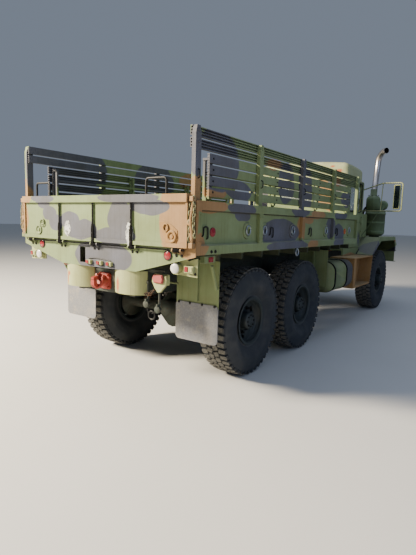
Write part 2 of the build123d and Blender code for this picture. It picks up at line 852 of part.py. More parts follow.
def cab_floor():
    """The cab floor with its sub-frame sills, toe board and tunnel cover."""
    front_y = door_front_y - 20.0
    floor = block((-cab_half_width + 10.0, cab_half_width - 10.0), (front_y, cab_rear_y),
                  (cab_floor_z - cab_floor_thickness, cab_floor_z))
    sills = []
    for x in (frame_half_width - 40.0, -frame_half_width + 40.0):
        sills.append(block((x - 38.0, x + 38.0), (front_y, cab_rear_y), (frame_top_z, cab_floor_z - 30.0)))
    toe = block((-hood_half_rear, hood_half_rear), (firewall_y, front_y + 20.0),
                (cab_floor_z - cab_floor_thickness, cab_floor_z))
    skirt = outline(
        (front_y, cab_floor_z - cab_floor_thickness),
        (cab_rear_y, cab_floor_z - cab_floor_thickness),
        (cab_rear_y, fender_tail_z),
        (fender_tail_y + 4.0, fender_tail_z),
        (fender_tail_y + 4.0, cab_floor_z - cab_floor_thickness - 60.0),
    )
    side = along_x(skirt, cab_half_width - 40.0, cab_half_width - 10.0)
    return fused([floor, toe, side, mirrored(side)] + sills)


def cab_rear_wall():
    """The rear wall with its corner returns and a window opening."""
    front_y = cab_rear_y - 100.0
    plan = Pos(0, cab_rear_y - 100.0) * RectangleRounded(2 * cab_half_width, 200.0, 70.0)
    inside = Pos(0, cab_rear_y - 100.0 - cab_wall) * RectangleRounded(
        2 * (cab_half_width - cab_wall), 200.0, 40.0)
    front_cut = Pos(0, front_y - 100.0) * Rectangle(3 * cab_half_width, 200.0)
    wall = along_z(plan - inside - front_cut, cab_floor_z, roof_seat_z)
    window = Pos(0, rear_window_z) * RectangleRounded(rear_window_width, rear_window_height, 60.0)
    return wall - along_y(window, cab_rear_y - 2 * cab_wall, cab_rear_y + 1)


def cab_cowl():
    """The firewall, the cowl top and the sides ahead of the doors."""
    fire_low = block((-hood_half_rear, hood_half_rear), (firewall_y, firewall_y + 20.0), (cab_floor_z, fender_top_z))
    fire_high = block((-cab_half_width, cab_half_width), (firewall_y, firewall_y + 20.0), (fender_top_z, belt_z))
    rear_y = door_front_y - door_gap
    side_outline = outline(
        (firewall_y, fender_top_z),
        (rear_y, fender_top_z),
        (rear_y, belt_z),
        (firewall_y, belt_z),
    )
    side = along_x(side_outline, cab_half_width - 36.0, cab_half_width)
    top = block((-cab_half_width, cab_half_width), (firewall_y, rear_y), (belt_z - 26.0, belt_z))
    inner_side = block((hood_half_rear - 20.0, hood_half_rear), (firewall_y, door_front_y - 20.0),
                       (cab_floor_z, fender_top_z))
    shelf = block((hood_half_rear - 20.0, cab_half_width), (firewall_y, rear_y), (fender_top_z, fender_top_z + 20.0))
    hinges = cowl_hinges()
    return fused([fire_low, fire_high, side, mirrored(side), top, inner_side, mirrored(inner_side),
                  shelf, mirrored(shelf), hinges, mirrored(hinges)])


def windshield_frame():
    """The two-pane windshield frame between the cowl and the roof."""
    back_y = door_front_y - door_gap - 14.0
    frame = Pos(0, (belt_z + roof_seat_z) / 2) * Rectangle(2 * cab_half_width, roof_seat_z - belt_z)
    pane_half = (cab_half_width - pane_bar - pane_centre_bar) / 2
    for sign in (1, -1):
        pane = Pos(sign * (pane_half + pane_centre_bar), (belt_z + roof_seat_z) / 2) * RectangleRounded(
            2 * pane_half, roof_seat_z - belt_z - 110.0, 45.0)
        frame = frame - pane
    return along_y(frame, back_y - 46.0, back_y)


def cab_glass():
    """Two flat windshield panes and the rear window pane."""
    back_y = door_front_y - door_gap - 34.0
    pane_half = (cab_half_width - pane_bar - pane_centre_bar) / 2
    pane = Pos(pane_half + pane_centre_bar, (belt_z + roof_seat_z) / 2) * RectangleRounded(
        2 * pane_half - 1.0, roof_seat_z - belt_z - 111.0, 44.5)
    rear_pane = Pos(0, rear_window_z) * RectangleRounded(
        rear_window_width - 1.0, rear_window_height - 1.0, 59.5)
    rear_y = cab_rear_y - cab_wall / 2
    return fused([pair(along_y(pane, back_y - 6.0, back_y)), along_y(rear_pane, rear_y - 3.0, rear_y + 3.0)])


def roof_form(inset):
    """The boxy roof with rounded edges, drawn in by an inset on every side but the bottom."""
    half = cab_half_width - inset
    front_y = roof_front_y + inset
    rear_y = cab_rear_y + roof_overhang - inset
    body = block((-half, half), (front_y, rear_y), (roof_seat_z, roof_seat_z + roof_rise - inset))
    corners = body.edges().filter_by(Axis.Z).sort_by(Axis.Y)
    body = fillet(corners[:2], roof_front_round - inset)
    corners = body.edges().filter_by(Axis.Z).sort_by(Axis.Y)
    body = fillet(corners[-2:], roof_rear_round - inset)
    top_face = body.faces().sort_by(Axis.Z)[-1]
    return fillet(top_face.edges(), roof_corner - inset)


def cab_roof():
    """The hard top: a shell with rounded edges over a flat rim."""
    inner = roof_form(roof_wall)
    shell = roof_form(0) - Pos(0, 0, -1) * inner - inner
    front_y = roof_front_y + 4.0
    rear_y = cab_rear_y + roof_overhang - 4.0
    rim = Pos(0, (front_y + rear_y) / 2) * RectangleRounded(
        2 * cab_half_width - 8.0, rear_y - front_y, roof_rim_round)
    hole_front_y = roof_front_y + 80.0
    hole_rear_y = cab_rear_y - cab_wall
    hole = Pos(0, (hole_front_y + hole_rear_y) / 2) * Rectangle(
        2 * (cab_half_width - cab_wall), hole_rear_y - hole_front_y)
    return fused([shell, along_z(rim - hole, roof_seat_z, roof_seat_z + roof_rim)])


def dashboard():
    """The instrument panel and the fixed steering column."""
    rear_y = door_front_y + 60.0
    profile = outline(
        (firewall_y + 20.0, belt_z - 26.0),
        (door_front_y - door_gap, belt_z - 26.0),
        (rear_y, belt_z - 60.0),
        (rear_y, belt_z - 190.0),
        (rear_y - 40.0, belt_z - 230.0),
        (firewall_y + 20.0, belt_z - 180.0),
    )
    panel = along_x(profile, -cab_half_width + 70.0, cab_half_width - 70.0)
    column = rod(column_foot(), column_top(), 26.0)
    bracket = block((steering_x - 34.0, steering_x + 34.0), (rear_y - 60.0, rear_y + 60.0),
                    (belt_z - 215.0, belt_z - 185.0))
    return fused([panel, column, bracket])


def column_direction():
    """The unit direction of the steering column, upwards and to the rear."""
    angle = math.radians(column_angle)
    return (0, math.cos(angle), math.sin(angle))


def column_foot():
    """The lower end of the fixed column, just above the toe board."""
    return (steering_x, door_front_y - column_foot_reach, cab_floor_z + 22.0)


def column_top():
    """The upper end of the fixed column."""
    foot = column_foot()
    direction = column_direction()
    return (steering_x, foot[1] + column_reach * direction[1], foot[2] + column_reach * direction[2])


def steering_wheel():
    """The hand wheel with three spokes on the column's end."""
    plane = Plane(origin=column_top(), x_dir=(1, 0, 0), z_dir=column_direction())
    rim = Pos(0, 0, 40.0) * Torus(steering_wheel_radius, 15.0)
    boss = Pos(0, 0, 26.3) * Cylinder(42.0, 52.0)
    pieces = [rim, boss]
    for angle in (30.0, 150.0, 270.0):
        spoke = Rot(0, 0, angle) * Pos(steering_wheel_radius / 2, 0, 36.0) * Box(steering_wheel_radius, 30.0, 10.0)
        pieces.append(spoke)
    return plane.location * fused(pieces)


def cab_seat_frames():
    """Sheet pedestals and back supports under the two seats."""
    pieces = []
    rear_y = cab_rear_y - cab_wall - 40.0
    for centre_x, half_width in seat_table:
        base = block((centre_x - half_width + 20.0, centre_x + half_width - 20.0),
                     (rear_y - seat_depth - 60.0, rear_y - 40.0), (cab_floor_z, cab_floor_z + seat_base_z))
        hollow = block((centre_x - half_width + 32.0, centre_x + half_width - 32.0),
                       (rear_y - seat_depth - 48.0, rear_y), (cab_floor_z - 1, cab_floor_z + seat_base_z - 12.0))
        back = block((centre_x - half_width + 30.0, centre_x + half_width - 30.0),
                     (rear_y - 14.0, rear_y), (cab_floor_z, cab_floor_z + seat_base_z + seat_back_height))
        link = block((centre_x - half_width + 30.0, centre_x + half_width - 30.0),
                     (rear_y - 60.0, rear_y), (cab_floor_z + seat_base_z - 12.0, cab_floor_z + seat_base_z))
        pieces.append(fused([base - hollow, back, link]))
    return fused(pieces)


def seat_cushions(centre_x, half_width):
    """A seat cushion and a back cushion as plain soft solids that do not meet."""
    rear_y = cab_rear_y - cab_wall - 40.0
    base_z = cab_floor_z + seat_base_z
    cushion = block((centre_x - half_width, centre_x + half_width),
                    (rear_y - 15.0 - seat_back_thickness - seat_depth + 60.0, rear_y - 15.0),
                    (base_z + 0.3, base_z + seat_cushion_height))
    back = block((centre_x - half_width, centre_x + half_width),
                 (rear_y - 14.3 - seat_back_thickness, rear_y - 14.3),
                 (base_z + seat_cushion_height + 4.0, base_z + seat_back_height))
    return fused([fillet(cushion.edges().filter_by(Axis.Z), 40.0), fillet(back.edges().filter_by(Axis.Y), 50.0)])


def door():
    """The left door: hollow lower panel, window frame and two hinge barrels."""
    outer_x = cab_half_width
    inner_x = outer_x - door_thickness
    front_y = door_front_y
    rear_y = cab_rear_y - 100.0 - door_gap
    bottom_z = cab_floor_z + door_gap
    top_z = roof_seat_z - door_gap
    centre_y = (front_y + rear_y) / 2
    full = Pos(centre_y, (bottom_z + top_z) / 2) * RectangleRounded(rear_y - front_y, top_z - bottom_z, 40.0)
    window = Pos(centre_y, (belt_z + top_z) / 2) * RectangleRounded(
        rear_y - front_y - 2 * window_bar, top_z - belt_z - window_bar, 60.0)
    body = along_x(full - window, inner_x, outer_x)
    upper = along_x(Pos(centre_y, (belt_z + 10.0 + top_z + 50.0) / 2) * Rectangle(
        rear_y - front_y + 20.0, top_z - belt_z + 40.0), inner_x - 1, inner_x + 16.0)
    body = body - upper
    barrels = []
    for z in door_hinge_heights():
        barrel = Pos(hinge_x, hinge_y, z) * Cylinder(hinge_radius, 90.0)
        leaf = block((outer_x - 4.0, hinge_x), (front_y, front_y + 60.0), (z - 45.0, z + 45.0))
        clear = block((outer_x - 5.0, hinge_x + 30.0), (front_y - 40.0, front_y + 70.0), (z - 46.0, z + 46.0))
        barrels.extend([barrel, leaf & clear])
    bores = [
        Pos(hinge_x, hinge_y, z) * Cylinder(hinge_pin_radius + running_gap, 100.0) for z in door_hinge_heights()
    ]
    return fused([body] + barrels) - bores


def door_hinge_heights():
    """The mid heights of the two hinges of a door."""
    return (cab_floor_z + door_gap + 230.0, belt_z - 130.0)


def cowl_hinges():
    """The fixed halves of the left door's hinges: knuckles, leaves and pins."""
    pieces = []
    for z in door_hinge_heights():
        pieces.append(Pos(hinge_x, hinge_y, z) * Cylinder(hinge_pin_radius, 140.0))
        for side in (-1, 1):
            mid_z = z + side * 59.0
            pieces.append(Pos(hinge_x, hinge_y, mid_z) * Cylinder(hinge_radius, 24.0))
            pieces.append(block((cab_half_width - 1.0, hinge_x), (door_front_y - 62.0, hinge_y),
                                (mid_z - 12.0, mid_z + 12.0)))
    door_edge = block((cab_half_width - 60.0, cab_half_width + 0.5), (door_front_y - door_gap, door_front_y + 30.0),
                      (cab_floor_z, roof_seat_z))
    return fused(pieces) - door_edge


def mirror_arm():
    """The left mirror: a bent loop of bar off the cowl, and the mirror head in it."""
    root_x = cab_half_width
    outer_x = mirror_reach
    arm_y = door_front_y - 50.0
    low_z = belt_z + 56.0
    high_z = roof_seat_z - 6.0
    loop = bent_rod([
        (root_x, arm_y, low_z),
        (outer_x, arm_y, low_z),
        (outer_x, arm_y, high_z),
        (1250.0, arm_y, high_z),
        (root_x - 10.0, arm_y, high_z - 120.0),
    ], mirror_bar_radius, 45.0)
    post = rod((1230.0, arm_y, low_z + 4.0), (1250.0, arm_y, high_z), 8.0)
    head_centre = Pos(mirror_head_x, (low_z + high_z) / 2)
    head = along_y(head_centre * RectangleRounded(116.0, 436.0, 20.0), arm_y + 11.0, arm_y + 36.0)
    clamps = []
    for z in (low_z + 110.0, high_z - 110.0):
        clamps.append(rod((mirror_head_x, arm_y + 16.0, z), (outer_x, arm_y, z), 7.0))
    cab_side = block((0, cab_half_width), (arm_y - 30.0, arm_y + 30.0), (low_z - 30.0, high_z + 30.0))
    return fused([loop, post, head] + clamps) - cab_side


def air_cleaner():
    """The round canister on the right fender, with its clamp band and intake cap."""
    bottom_z = fender_top_z + 24.0
    top_z = canister_top_z
    band_z = top_z - 60.0
    profile = outline(
        (0, bottom_z),
        (canister_radius - 50.0, bottom_z),
        (canister_radius, bottom_z + 50.0),
        (canister_radius, top_z - 22.0),
        (canister_radius - 22.0, top_z),
        (0, top_z),
    )
    body = revolve(Plane.XZ * profile, Axis.Z, 360)
    band = Pos(0, 0, band_z) * Cylinder(canister_radius + 7.0, 34.0)
    foot = Pos(0, 0, fender_top_z + 12.0) * Cylinder(95.0, 24.0)
    cap_centre = (-62.0, -canister_radius - 86.0, top_z + 115.0)
    neck_start = (-20.0, -canister_radius + 30.0, top_z - 12.0)
    neck = rod(neck_start, cap_centre, 48.0)
    cap = Pos(*cap_centre) * Rot(62.0, 0, 0) * Cylinder(96.0, 100.0)
    cap = chamfer(cap.edges().filter_by(GeomType.CIRCLE), 24.0)
    return Pos(canister_x, canister_y, 0) * fused([body, band, foot, neck, cap])


def exhaust_stack():
    """The domed heat shield on the canister and the bare pipe with its elbow at the top."""
    base_z = canister_top_z
    shoulder_z = base_z + shield_height - 72.0
    top_z = base_z + shield_height
    neck_radius = stack_radius + 8.0
    centre_x = canister_x + 50.0
    centre_y = canister_y + 40.0
    shield = make_face(
        Line((0, base_z), (shield_radius, base_z))
        + Line((shield_radius, base_z), (shield_radius, shoulder_z))
        + ThreePointArc((shield_radius, shoulder_z), (112.0, shoulder_z + 44.0), (neck_radius, top_z))
        + Line((neck_radius, top_z), (0, top_z))
        + Line((0, top_z), (0, base_z))
    )
    muffler = Pos(centre_x, centre_y, 0) * revolve(Plane.XZ * shield, Axis.Z, 360)
    collar = Pos(centre_x, centre_y, top_z + 63.0) * Cylinder(neck_radius, 130.0)
    heading = math.radians(stack_heading)
    start = (centre_x, centre_y, top_z)
    elbow = (centre_x - stack_lean, centre_y, stack_tip_z)
    tip = (
        elbow[0] - stack_reach * math.cos(heading),
        elbow[1] + stack_reach * math.sin(heading),
        stack_tip_z,
    )
    path = FilletPolyline(start, elbow, tip, radius=stack_bend)
    plane = Plane(origin=path @ 0, z_dir=path % 0)
    outer = sweep(plane * Circle(stack_radius), path=path)
    lip = Vector(*tip) - 60.0 * (path % 1)
    bore = rod(lip, Vector(*tip) + 2.0 * (path % 1), stack_radius - stack_wall)
    return fused([muffler, collar, outer]) - bore


def fuel_tank():
    """The strapped tank on the right, hung off the rail by two brackets."""
    centre_y = tank_rear_y - tank_length / 2
    centre_z = frame_bottom_z - 30.0
    width = tank_outer_x - tank_inner_x
    place = Pos(-(tank_outer_x + tank_inner_x) / 2, centre_z)
    section = place * RectangleRounded(width, tank_height, tank_corner)
    strap_section = place * RectangleRounded(width + 12.0, tank_height + 12.0, tank_corner + 6.0)
    pieces = [along_y(section, tank_rear_y - tank_length, tank_rear_y)]
    for y in (tank_rear_y - 60.0, tank_rear_y - tank_length + 290.0):
        pieces.append(along_y(strap_section, y - tank_strap / 2, y + tank_strap / 2))
    for y in (centre_y - 300.0, centre_y + 300.0):
        pieces.append(block(
            (-tank_inner_x - 4.0, -frame_half_width),
            (y - 25.0, y + 25.0),
            (frame_bottom_z + 20.0, frame_bottom_z + 80.0),
        ))
    return fused(pieces)


def step_box():
    """The left step box: raked in front, open to the side, with arms to the rail."""
    shell = outline(
        (step_box_front_y + step_box_rake, step_box_low_z),
        (step_box_rear_y, step_box_low_z),
        (step_box_rear_y, step_box_high_z),
        (step_box_front_y, step_box_high_z),
    )
    well_low_z = step_box_low_z + 24.0
    well_high_z = step_box_high_z - step_box_wall
    well_front_y = step_box_front_y + step_box_wall
    well = outline(
        (well_front_y + step_box_rake, well_low_z),
        (step_well_rear_y, well_low_z),
        (step_well_rear_y, well_high_z),
        (well_front_y, well_high_z),
    )
    body = along_x(shell, step_box_inner_x, step_box_outer_x)
    body = body - along_x(well, step_well_x, step_box_outer_x + 1)
    arms = []
    for y in (step_box_front_y + 260.0, step_box_rear_y - 160.0):
        arms.append(block(
            (frame_half_width, step_box_inner_x + 4.0),
            (y - 30.0, y + 30.0),
            (frame_bottom_z + 20.0, frame_bottom_z + 90.0),
        ))
    return fused([body] + arms)


def air_tanks():
    """Two cylindrical air tanks behind the left step box, hung off the rail."""
    pieces = []
    centre_y = bed_front_y + 470.0
    low_z = frame_bottom_z - 60.0
    high_z = low_z + 260.0
    band_y = (centre_y - 220.0, centre_y + 220.0)
    for z in (low_z, high_z):
        tank = Pos(air_tank_x, centre_y, z) * (Rot(90, 0, 0) * Cylinder(air_tank_radius, air_tank_length))
        pieces.append(chamfer(tank.edges().filter_by(GeomType.CIRCLE), 40.0))
        for y in band_y:
            pieces.append(Pos(air_tank_x, y, z) * (Rot(90, 0, 0) * Cylinder(air_tank_radius + 5.0, 40.0)))
    for y in band_y:
        band = (y - 18.0, y + 18.0)
        pieces.append(block((air_tank_x - 20.0, air_tank_x + 20.0), band, (low_z, high_z)))
        pieces.append(block((frame_half_width, air_tank_x), band, (low_z + 110.0, low_z + 150.0)))
    return fused(pieces)


def post_stations():
    """The y values of the side posts, and of the stakes that stand in them."""
    inset = post_width / 2
    return spread(bed_front_y + inset, bed_rear_y - inset, post_count)


def bed_floor():
    """The floor sheet on cross sills, over two long sills that rest on the rails."""
    floor_low_z = floor_top_z - floor_thickness
    sheet = block(
        (-bed_inner_half, bed_inner_half),
        (bed_front_y + headboard_thickness, bed_rear_y - sill_wall),
        (floor_low_z, floor_top_z),
    )
    pieces = [sheet]
    for y in spread(bed_front_y + 60.0, bed_rear_y - sill_wall - 104.0, 11):
        profile = outline(
            (y - 30.0, floor_low_z),
            (y + 30.0, floor_low_z),
            (y + 30.0, floor_low_z - 12.0),
            (y + 10.0, bed_under_z),
            (y - 10.0, bed_under_z),
            (y - 30.0, floor_low_z - 12.0),
        )
        pieces.append(along_x(profile, -bed_inner_half, bed_inner_half))
    for x in (frame_half_width - 38.0, -frame_half_width + 38.0):
        pieces.append(block((x - 36.0, x + 36.0), (bed_front_y + 40.0, bed_rear_y - 120.0),
                            (frame_top_z, floor_low_z)))
    return fused(pieces)


def bed_side():
    """The left side wall: rails, recessed panel, posts and stake sockets."""
    recess_x = bed_half_width - panel_recess
    section = outline(
        (bed_inner_half, side_bottom_z),
        (bed_half_width, side_bottom_z),
        (bed_half_width, side_bottom_z + rail_band),
        (recess_x, side_bottom_z + rail_band + 12.0),
        (recess_x, side_top_z - rail_band - 12.0),
        (bed_half_width, side_top_z - rail_band),
        (bed_half_width, side_top_z),
        (bed_inner_half, side_top_z),
    )
    wall = along_y(section, bed_front_y, bed_rear_y)
    pieces = [wall]
    for y in post_stations():
        pieces.append(block((recess_x - 1, bed_half_width), (y - post_width / 2, y + post_width / 2),
                            (side_bottom_z, side_top_z)))
    side = fused(pieces + seat_lugs())
    half_y = (stake_width - 12.0) / 2 + stake_clearance
    for y in post_stations():
        side = side - block((stake_inner_x() - stake_clearance, stake_inner_x() + stake_thickness + stake_clearance),
                            (y - half_y, y + half_y), (side_top_z - stake_depth, side_top_z + 1))
    return side


def stake_inner_x():
    """The inner face of the stakes, which the planks lie against."""
    return bed_half_width - 24.0 - stake_thickness


def plank_profile(x_smooth, z_low, open_side):
    """A channel plank with two ribs: smooth on one face, open on the other."""
    ribs = [0, plank_height / 3 - plank_rib / 3, 2 * (plank_height - plank_rib) / 3, plank_height - plank_rib]
    skin = 5.0
    x_skin = x_smooth + open_side * skin
    x_open = x_smooth + open_side * plank_thickness
    low, high = min(x_smooth, x_skin), max(x_smooth, x_skin)
    sketch = Pos((low + high) / 2, z_low + plank_height / 2) * Rectangle(skin, plank_height)
    for rib in ribs:
        sketch = sketch + Pos((x_smooth + x_open) / 2, z_low + rib + plank_rib / 2) * Rectangle(
            plank_thickness, plank_rib)
    return sketch


def plank_z(index):
    """The lower edge of one plank, counted from the bottom."""
    return seat_hinge_z + 10.0 + index * plank_pitch


def rack():
    """The left rack: stakes in the wall's sockets and the two backrest planks."""
    pieces = []
    inner_x = stake_inner_x()
    outer_x = inner_x + stake_thickness
    half = stake_width / 2
    for y in post_stations():
        root = block((inner_x, outer_x), (y - half + 6.0, y + half - 6.0), (side_top_z - stake_depth + 1, side_top_z))
        body = along_x(outline(
            (y - half, side_top_z),
            (y + half, side_top_z),
            (y + half, stake_top_z - 60.0),
            (y + half - 16.0, stake_top_z),
            (y - half + 16.0, stake_top_z),
            (y - half, stake_top_z - 60.0),
        ), inner_x, outer_x)
        pieces.extend([root, body])
    first = seat_planks
    for index in range(first, first + backrest_planks):
        profile = plank_profile(inner_x - plank_thickness, plank_z(index), 1)
        pieces.append(along_y(profile, bed_front_y + 10.0, bed_rear_y - 10.0))
    return fused(pieces)


def seat_x():
    """The smooth face of the folded seat, just inside the stakes."""
    return stake_inner_x() - moving_gap


def seat_hinge_x():
    """The seat's hinge line, at the inner face of the side wall."""
    return bed_inner_half - 14.0


def troop_seat():
    """The left folding seat: four ribbed planks on end brackets, folded up."""
    pieces = []
    start_y = bed_front_y + seat_end_inset
    end_y = bed_rear_y - seat_end_inset
    for index in range(seat_planks):
        pieces.append(along_y(plank_profile(seat_x(), plank_z(index), -1), start_y, end_y))
    top_z = plank_z(seat_planks - 1) + plank_height
    inner_x = seat_x() - plank_thickness
    for y in spread(start_y + 60.0, end_y - 60.0, leg_count):
        barrel = Pos(seat_hinge_x(), seat_hinge_z) * Circle(12.0)
        bore = Pos(seat_hinge_x(), seat_hinge_z) * Circle(seat_pin_radius + running_gap)
        strap = outline(
            (seat_hinge_x(), seat_hinge_z - 10.0),
            (inner_x, seat_hinge_z - 10.0),
            (inner_x, top_z - 4.0),
            (inner_x - 22.0, top_z - 4.0),
            (inner_x - 22.0, seat_hinge_z + 30.0),
            (seat_hinge_x(), seat_hinge_z + 10.0),
        )
        pieces.append(along_y(barrel + strap - bore, y - 22.0, y + 22.0))
        pivot_x, pivot_z = leg_pivot()
        for side in (-1, 1):
            lug_y = y + side * (leg_bar / 2 + 5.0)
            pieces.append(block((pivot_x - 10.0, inner_x - 1.0), (lug_y - 3.0, lug_y + 3.0),
                                (pivot_z - 10.0, pivot_z + 10.0)))
        pieces.append(Pos(pivot_x, y, pivot_z) * (Rot(90, 0, 0) * Cylinder(leg_pin_radius, leg_bar + 12.0)))
    return fused(pieces)


def leg_pivot():
    """The (x, z) of the leg pivots near the free edge of the folded seat."""
    return (seat_hinge_x() - 12.0 - moving_gap - leg_bar / 2, plank_z(seat_planks - 1) + plank_height - 40.0)


def seat_legs():
    """The left legs on one cross bar, hanging inside the folded seat."""
    pivot_x, pivot_z = leg_pivot()
    start_y = bed_front_y + seat_end_inset
    end_y = bed_rear_y - seat_end_inset
    lowered_pivot_z = seat_hinge_z - (seat_hinge_x() - pivot_x)
    foot_z = pivot_z - (lowered_pivot_z - floor_top_z - moving_gap)
    half = leg_bar / 2
    pieces = []
    bores = []
    for y in spread(start_y + 60.0, end_y - 60.0, leg_count):
        pieces.append(block((pivot_x - half, pivot_x + half), (y - half, y + half), (foot_z, pivot_z + half)))
        bores.append(Pos(pivot_x, y, pivot_z) * (Rot(90, 0, 0) * Cylinder(leg_pin_radius + running_gap, 60.0)))
    bar = block((pivot_x - 8.0, pivot_x + 8.0), (start_y + 60.0, end_y - 60.0), (pivot_z - 130.0, pivot_z - 106.0))
    return fused(pieces + [bar]) - bores


def seat_lugs():
    """Hinge lugs for the folding seat on the inner face of the left side wall."""
    start_y = bed_front_y + seat_end_inset
    end_y = bed_rear_y - seat_end_inset
    pieces = []
    for y in spread(start_y + 60.0, end_y - 60.0, leg_count):
        for side in (-1, 1):
            lug_y = y + side * 30.0
            lug = along_y(outline(
                (bed_inner_half, side_top_z - 70.0),
                (bed_inner_half, seat_hinge_z),
                (bed_inner_half - 14.0, seat_hinge_z + 14.0),
                (bed_inner_half - 26.0, seat_hinge_z),
                (bed_inner_half - 26.0, side_top_z - 30.0),
            ), lug_y - 6.0, lug_y + 6.0)
            pieces.append(lug)
        pin = Pos(seat_hinge_x(), y, seat_hinge_z) * (Rot(90, 0, 0) * Cylinder(seat_pin_radius, 66.0))
        pieces.append(pin)
    return pieces


def bed_headboard():
    """The front wall of the bed, ahead of the floor sheet, with four recessed panels."""
    wall = block(
        (-bed_inner_half + 0.3, bed_inner_half - 0.3),
        (bed_front_y, bed_front_y + headboard_thickness),
        (floor_top_z - floor_thickness, side_top_z),
    )
    for x in spread(-840.0, 840.0, 4):
        recess = Pos(x, (floor_top_z + side_top_z) / 2) * Rectangle(460.0, side_height - 200.0)
        wall = wall - along_y(recess, bed_front_y - 1, bed_front_y + 20.0)
    return wall


def tailgate():
    """The tailgate: a flat panel with a proud top bar, ribs, step loops and hinge barrels."""
    inner_y = bed_rear_y + tailgate_gap
    outer_y = inner_y + tailgate_thickness
    panel_y = outer_y - tailgate_relief
    half = tailgate_half_width
    pieces = [
        block((-half, half), (inner_y, panel_y), (tailgate_bottom_z, tailgate_top_z)),
        block((-half, half), (inner_y, outer_y), (tailgate_top_z - tailgate_bar, tailgate_top_z)),
        block((-half, half), (inner_y, panel_y + tailgate_rib_depth), (tailgate_bottom_z, tailgate_bottom_z + 34.0)),
    ]
    end_x = half - tailgate_rib / 2
    for x in (-end_x, -tailgate_panel, 0.0, tailgate_panel, end_x):
        pieces.append(block(
            (x - tailgate_rib / 2, x + tailgate_rib / 2),
            (inner_y, panel_y + tailgate_rib_depth),
            (tailgate_bottom_z, tailgate_top_z),
        ))
    loop_y = inner_y + 26.0
    for x in (-tailgate_loop_x, tailgate_loop_x):
        left_x = x - tailgate_loop_half
        right_x = x + tailgate_loop_half
        pieces.append(bent_rod([
            (left_x, loop_y, tailgate_top_z - 6.0),
            (left_x, loop_y, tailgate_top_z + tailgate_loop_height),
            (right_x, loop_y, tailgate_top_z + tailgate_loop_height),
            (right_x, loop_y, tailgate_top_z - 6.0),
        ], 11.0, 30.0))
    for x in tailgate_hinge_stations():
        barrel = tube_x((tailgate_hinge_y, tailgate_hinge_z), tailgate_hinge_radius, x - 26.0, x + 26.0)
        leaf = block(
            (x - 26.0, x + 26.0),
            (tailgate_hinge_y - 22.0, panel_y - 1.0),
            (tailgate_hinge_z, tailgate_bottom_z + 20.0),
        )
        pieces.extend([barrel, leaf])
    bores = [
        tube_x((tailgate_hinge_y, tailgate_hinge_z), tailgate_pin_radius + running_gap, x - 27.0, x + 27.0)
        for x in tailgate_hinge_stations()
    ]
    return fused(pieces) - bores


def tailgate_hinge_stations():
    """The x values of the five tailgate hinges."""
    return [index * tailgate_panel for index in range(-2, 3)]


def rear_sill():
    """The shaped rear plate under the floor, with hinge lugs and a side step hole."""
    plate_y = (bed_rear_y - sill_wall, bed_rear_y)
    top_z = floor_top_z - 20.0
    plate = along_y(outline(
        (-bed_half_width, side_bottom_z),
        (-bed_inner_half, side_bottom_z),
        (-bed_inner_half, top_z),
        (bed_inner_half, top_z),
        (bed_inner_half, side_bottom_z),
        (bed_half_width, side_bottom_z),
        (bed_half_width, side_bottom_z - 14.0),
        (sill_half_bottom, sill_bottom_z),
        (-sill_half_bottom, sill_bottom_z),
        (-bed_half_width, side_bottom_z - 14.0),
    ), plate_y[0], plate_y[1])
    hole = Pos(217.0, bed_under_z + 5.0) * RectangleRounded(86.0, 160.0, 8.0)
    plate = plate - along_y(hole, plate_y[0] - 1, plate_y[1] + 1)
    pieces = [plate]
    for x in tailgate_hinge_stations():
        for side in (-1, 1):
            lug_x = x + side * 40.0
            profile = Pos(tailgate_hinge_y, tailgate_hinge_z) * Circle(tailgate_hinge_radius)
            arm = outline(
                (bed_rear_y - 2, tailgate_hinge_z - 40.0),
                (bed_rear_y - 2, tailgate_hinge_z - 14.0),
                (tailgate_hinge_y, tailgate_hinge_z + 6.0),
                (tailgate_hinge_y + 14.0, tailgate_hinge_z - 10.0),
            )
            pieces.append(along_x(profile + arm, lug_x - 12.0, lug_x + 12.0))
        pieces.append(tube_x((tailgate_hinge_y, tailgate_hinge_z), tailgate_pin_radius, x - 52.0, x + 52.0))
    return fused(pieces)


def tail_lamps():
    """Lamp plates with a round and a square lamp each side, and three centre markers."""
    plate_y = bed_rear_y - sill_wall - 56.0
    floor_low_z = floor_top_z - floor_thickness
    tab_x = bed_inner_half - 10.0
    plate = along_y(outline(
        (lamp_plate_inner_x, floor_low_z),
        (tab_x, floor_low_z),
        (tab_x, bed_under_z + 24.0),
        (lamp_plate_outer_x, bed_under_z + 56.0),
        (lamp_plate_outer_x, bed_under_z - 108.0),
        (lamp_plate_inner_x, bed_under_z - 98.0),
    ), plate_y - 8.0, plate_y)
    round_lamp = rod((round_lamp_x, plate_y, lamp_z), (round_lamp_x, plate_y + 45.0, lamp_z), round_lamp_radius)
    square_lamp = block(
        (square_lamp_x - 47.0, square_lamp_x + 47.0),
        (plate_y, plate_y + 34.0),
        (lamp_z - 30.0, lamp_z + 28.0),
    )
    pieces = [pair(fused([plate, round_lamp, square_lamp]))]
    for x in (100.0, -60.0, -200.0):
        pieces.append(block(
            (x - 36.0, x + 36.0),
            (bed_rear_y, bed_rear_y + 26.0),
            (sill_bottom_z + 28.0, sill_bottom_z + 66.0),
        ))
    return fused(pieces)


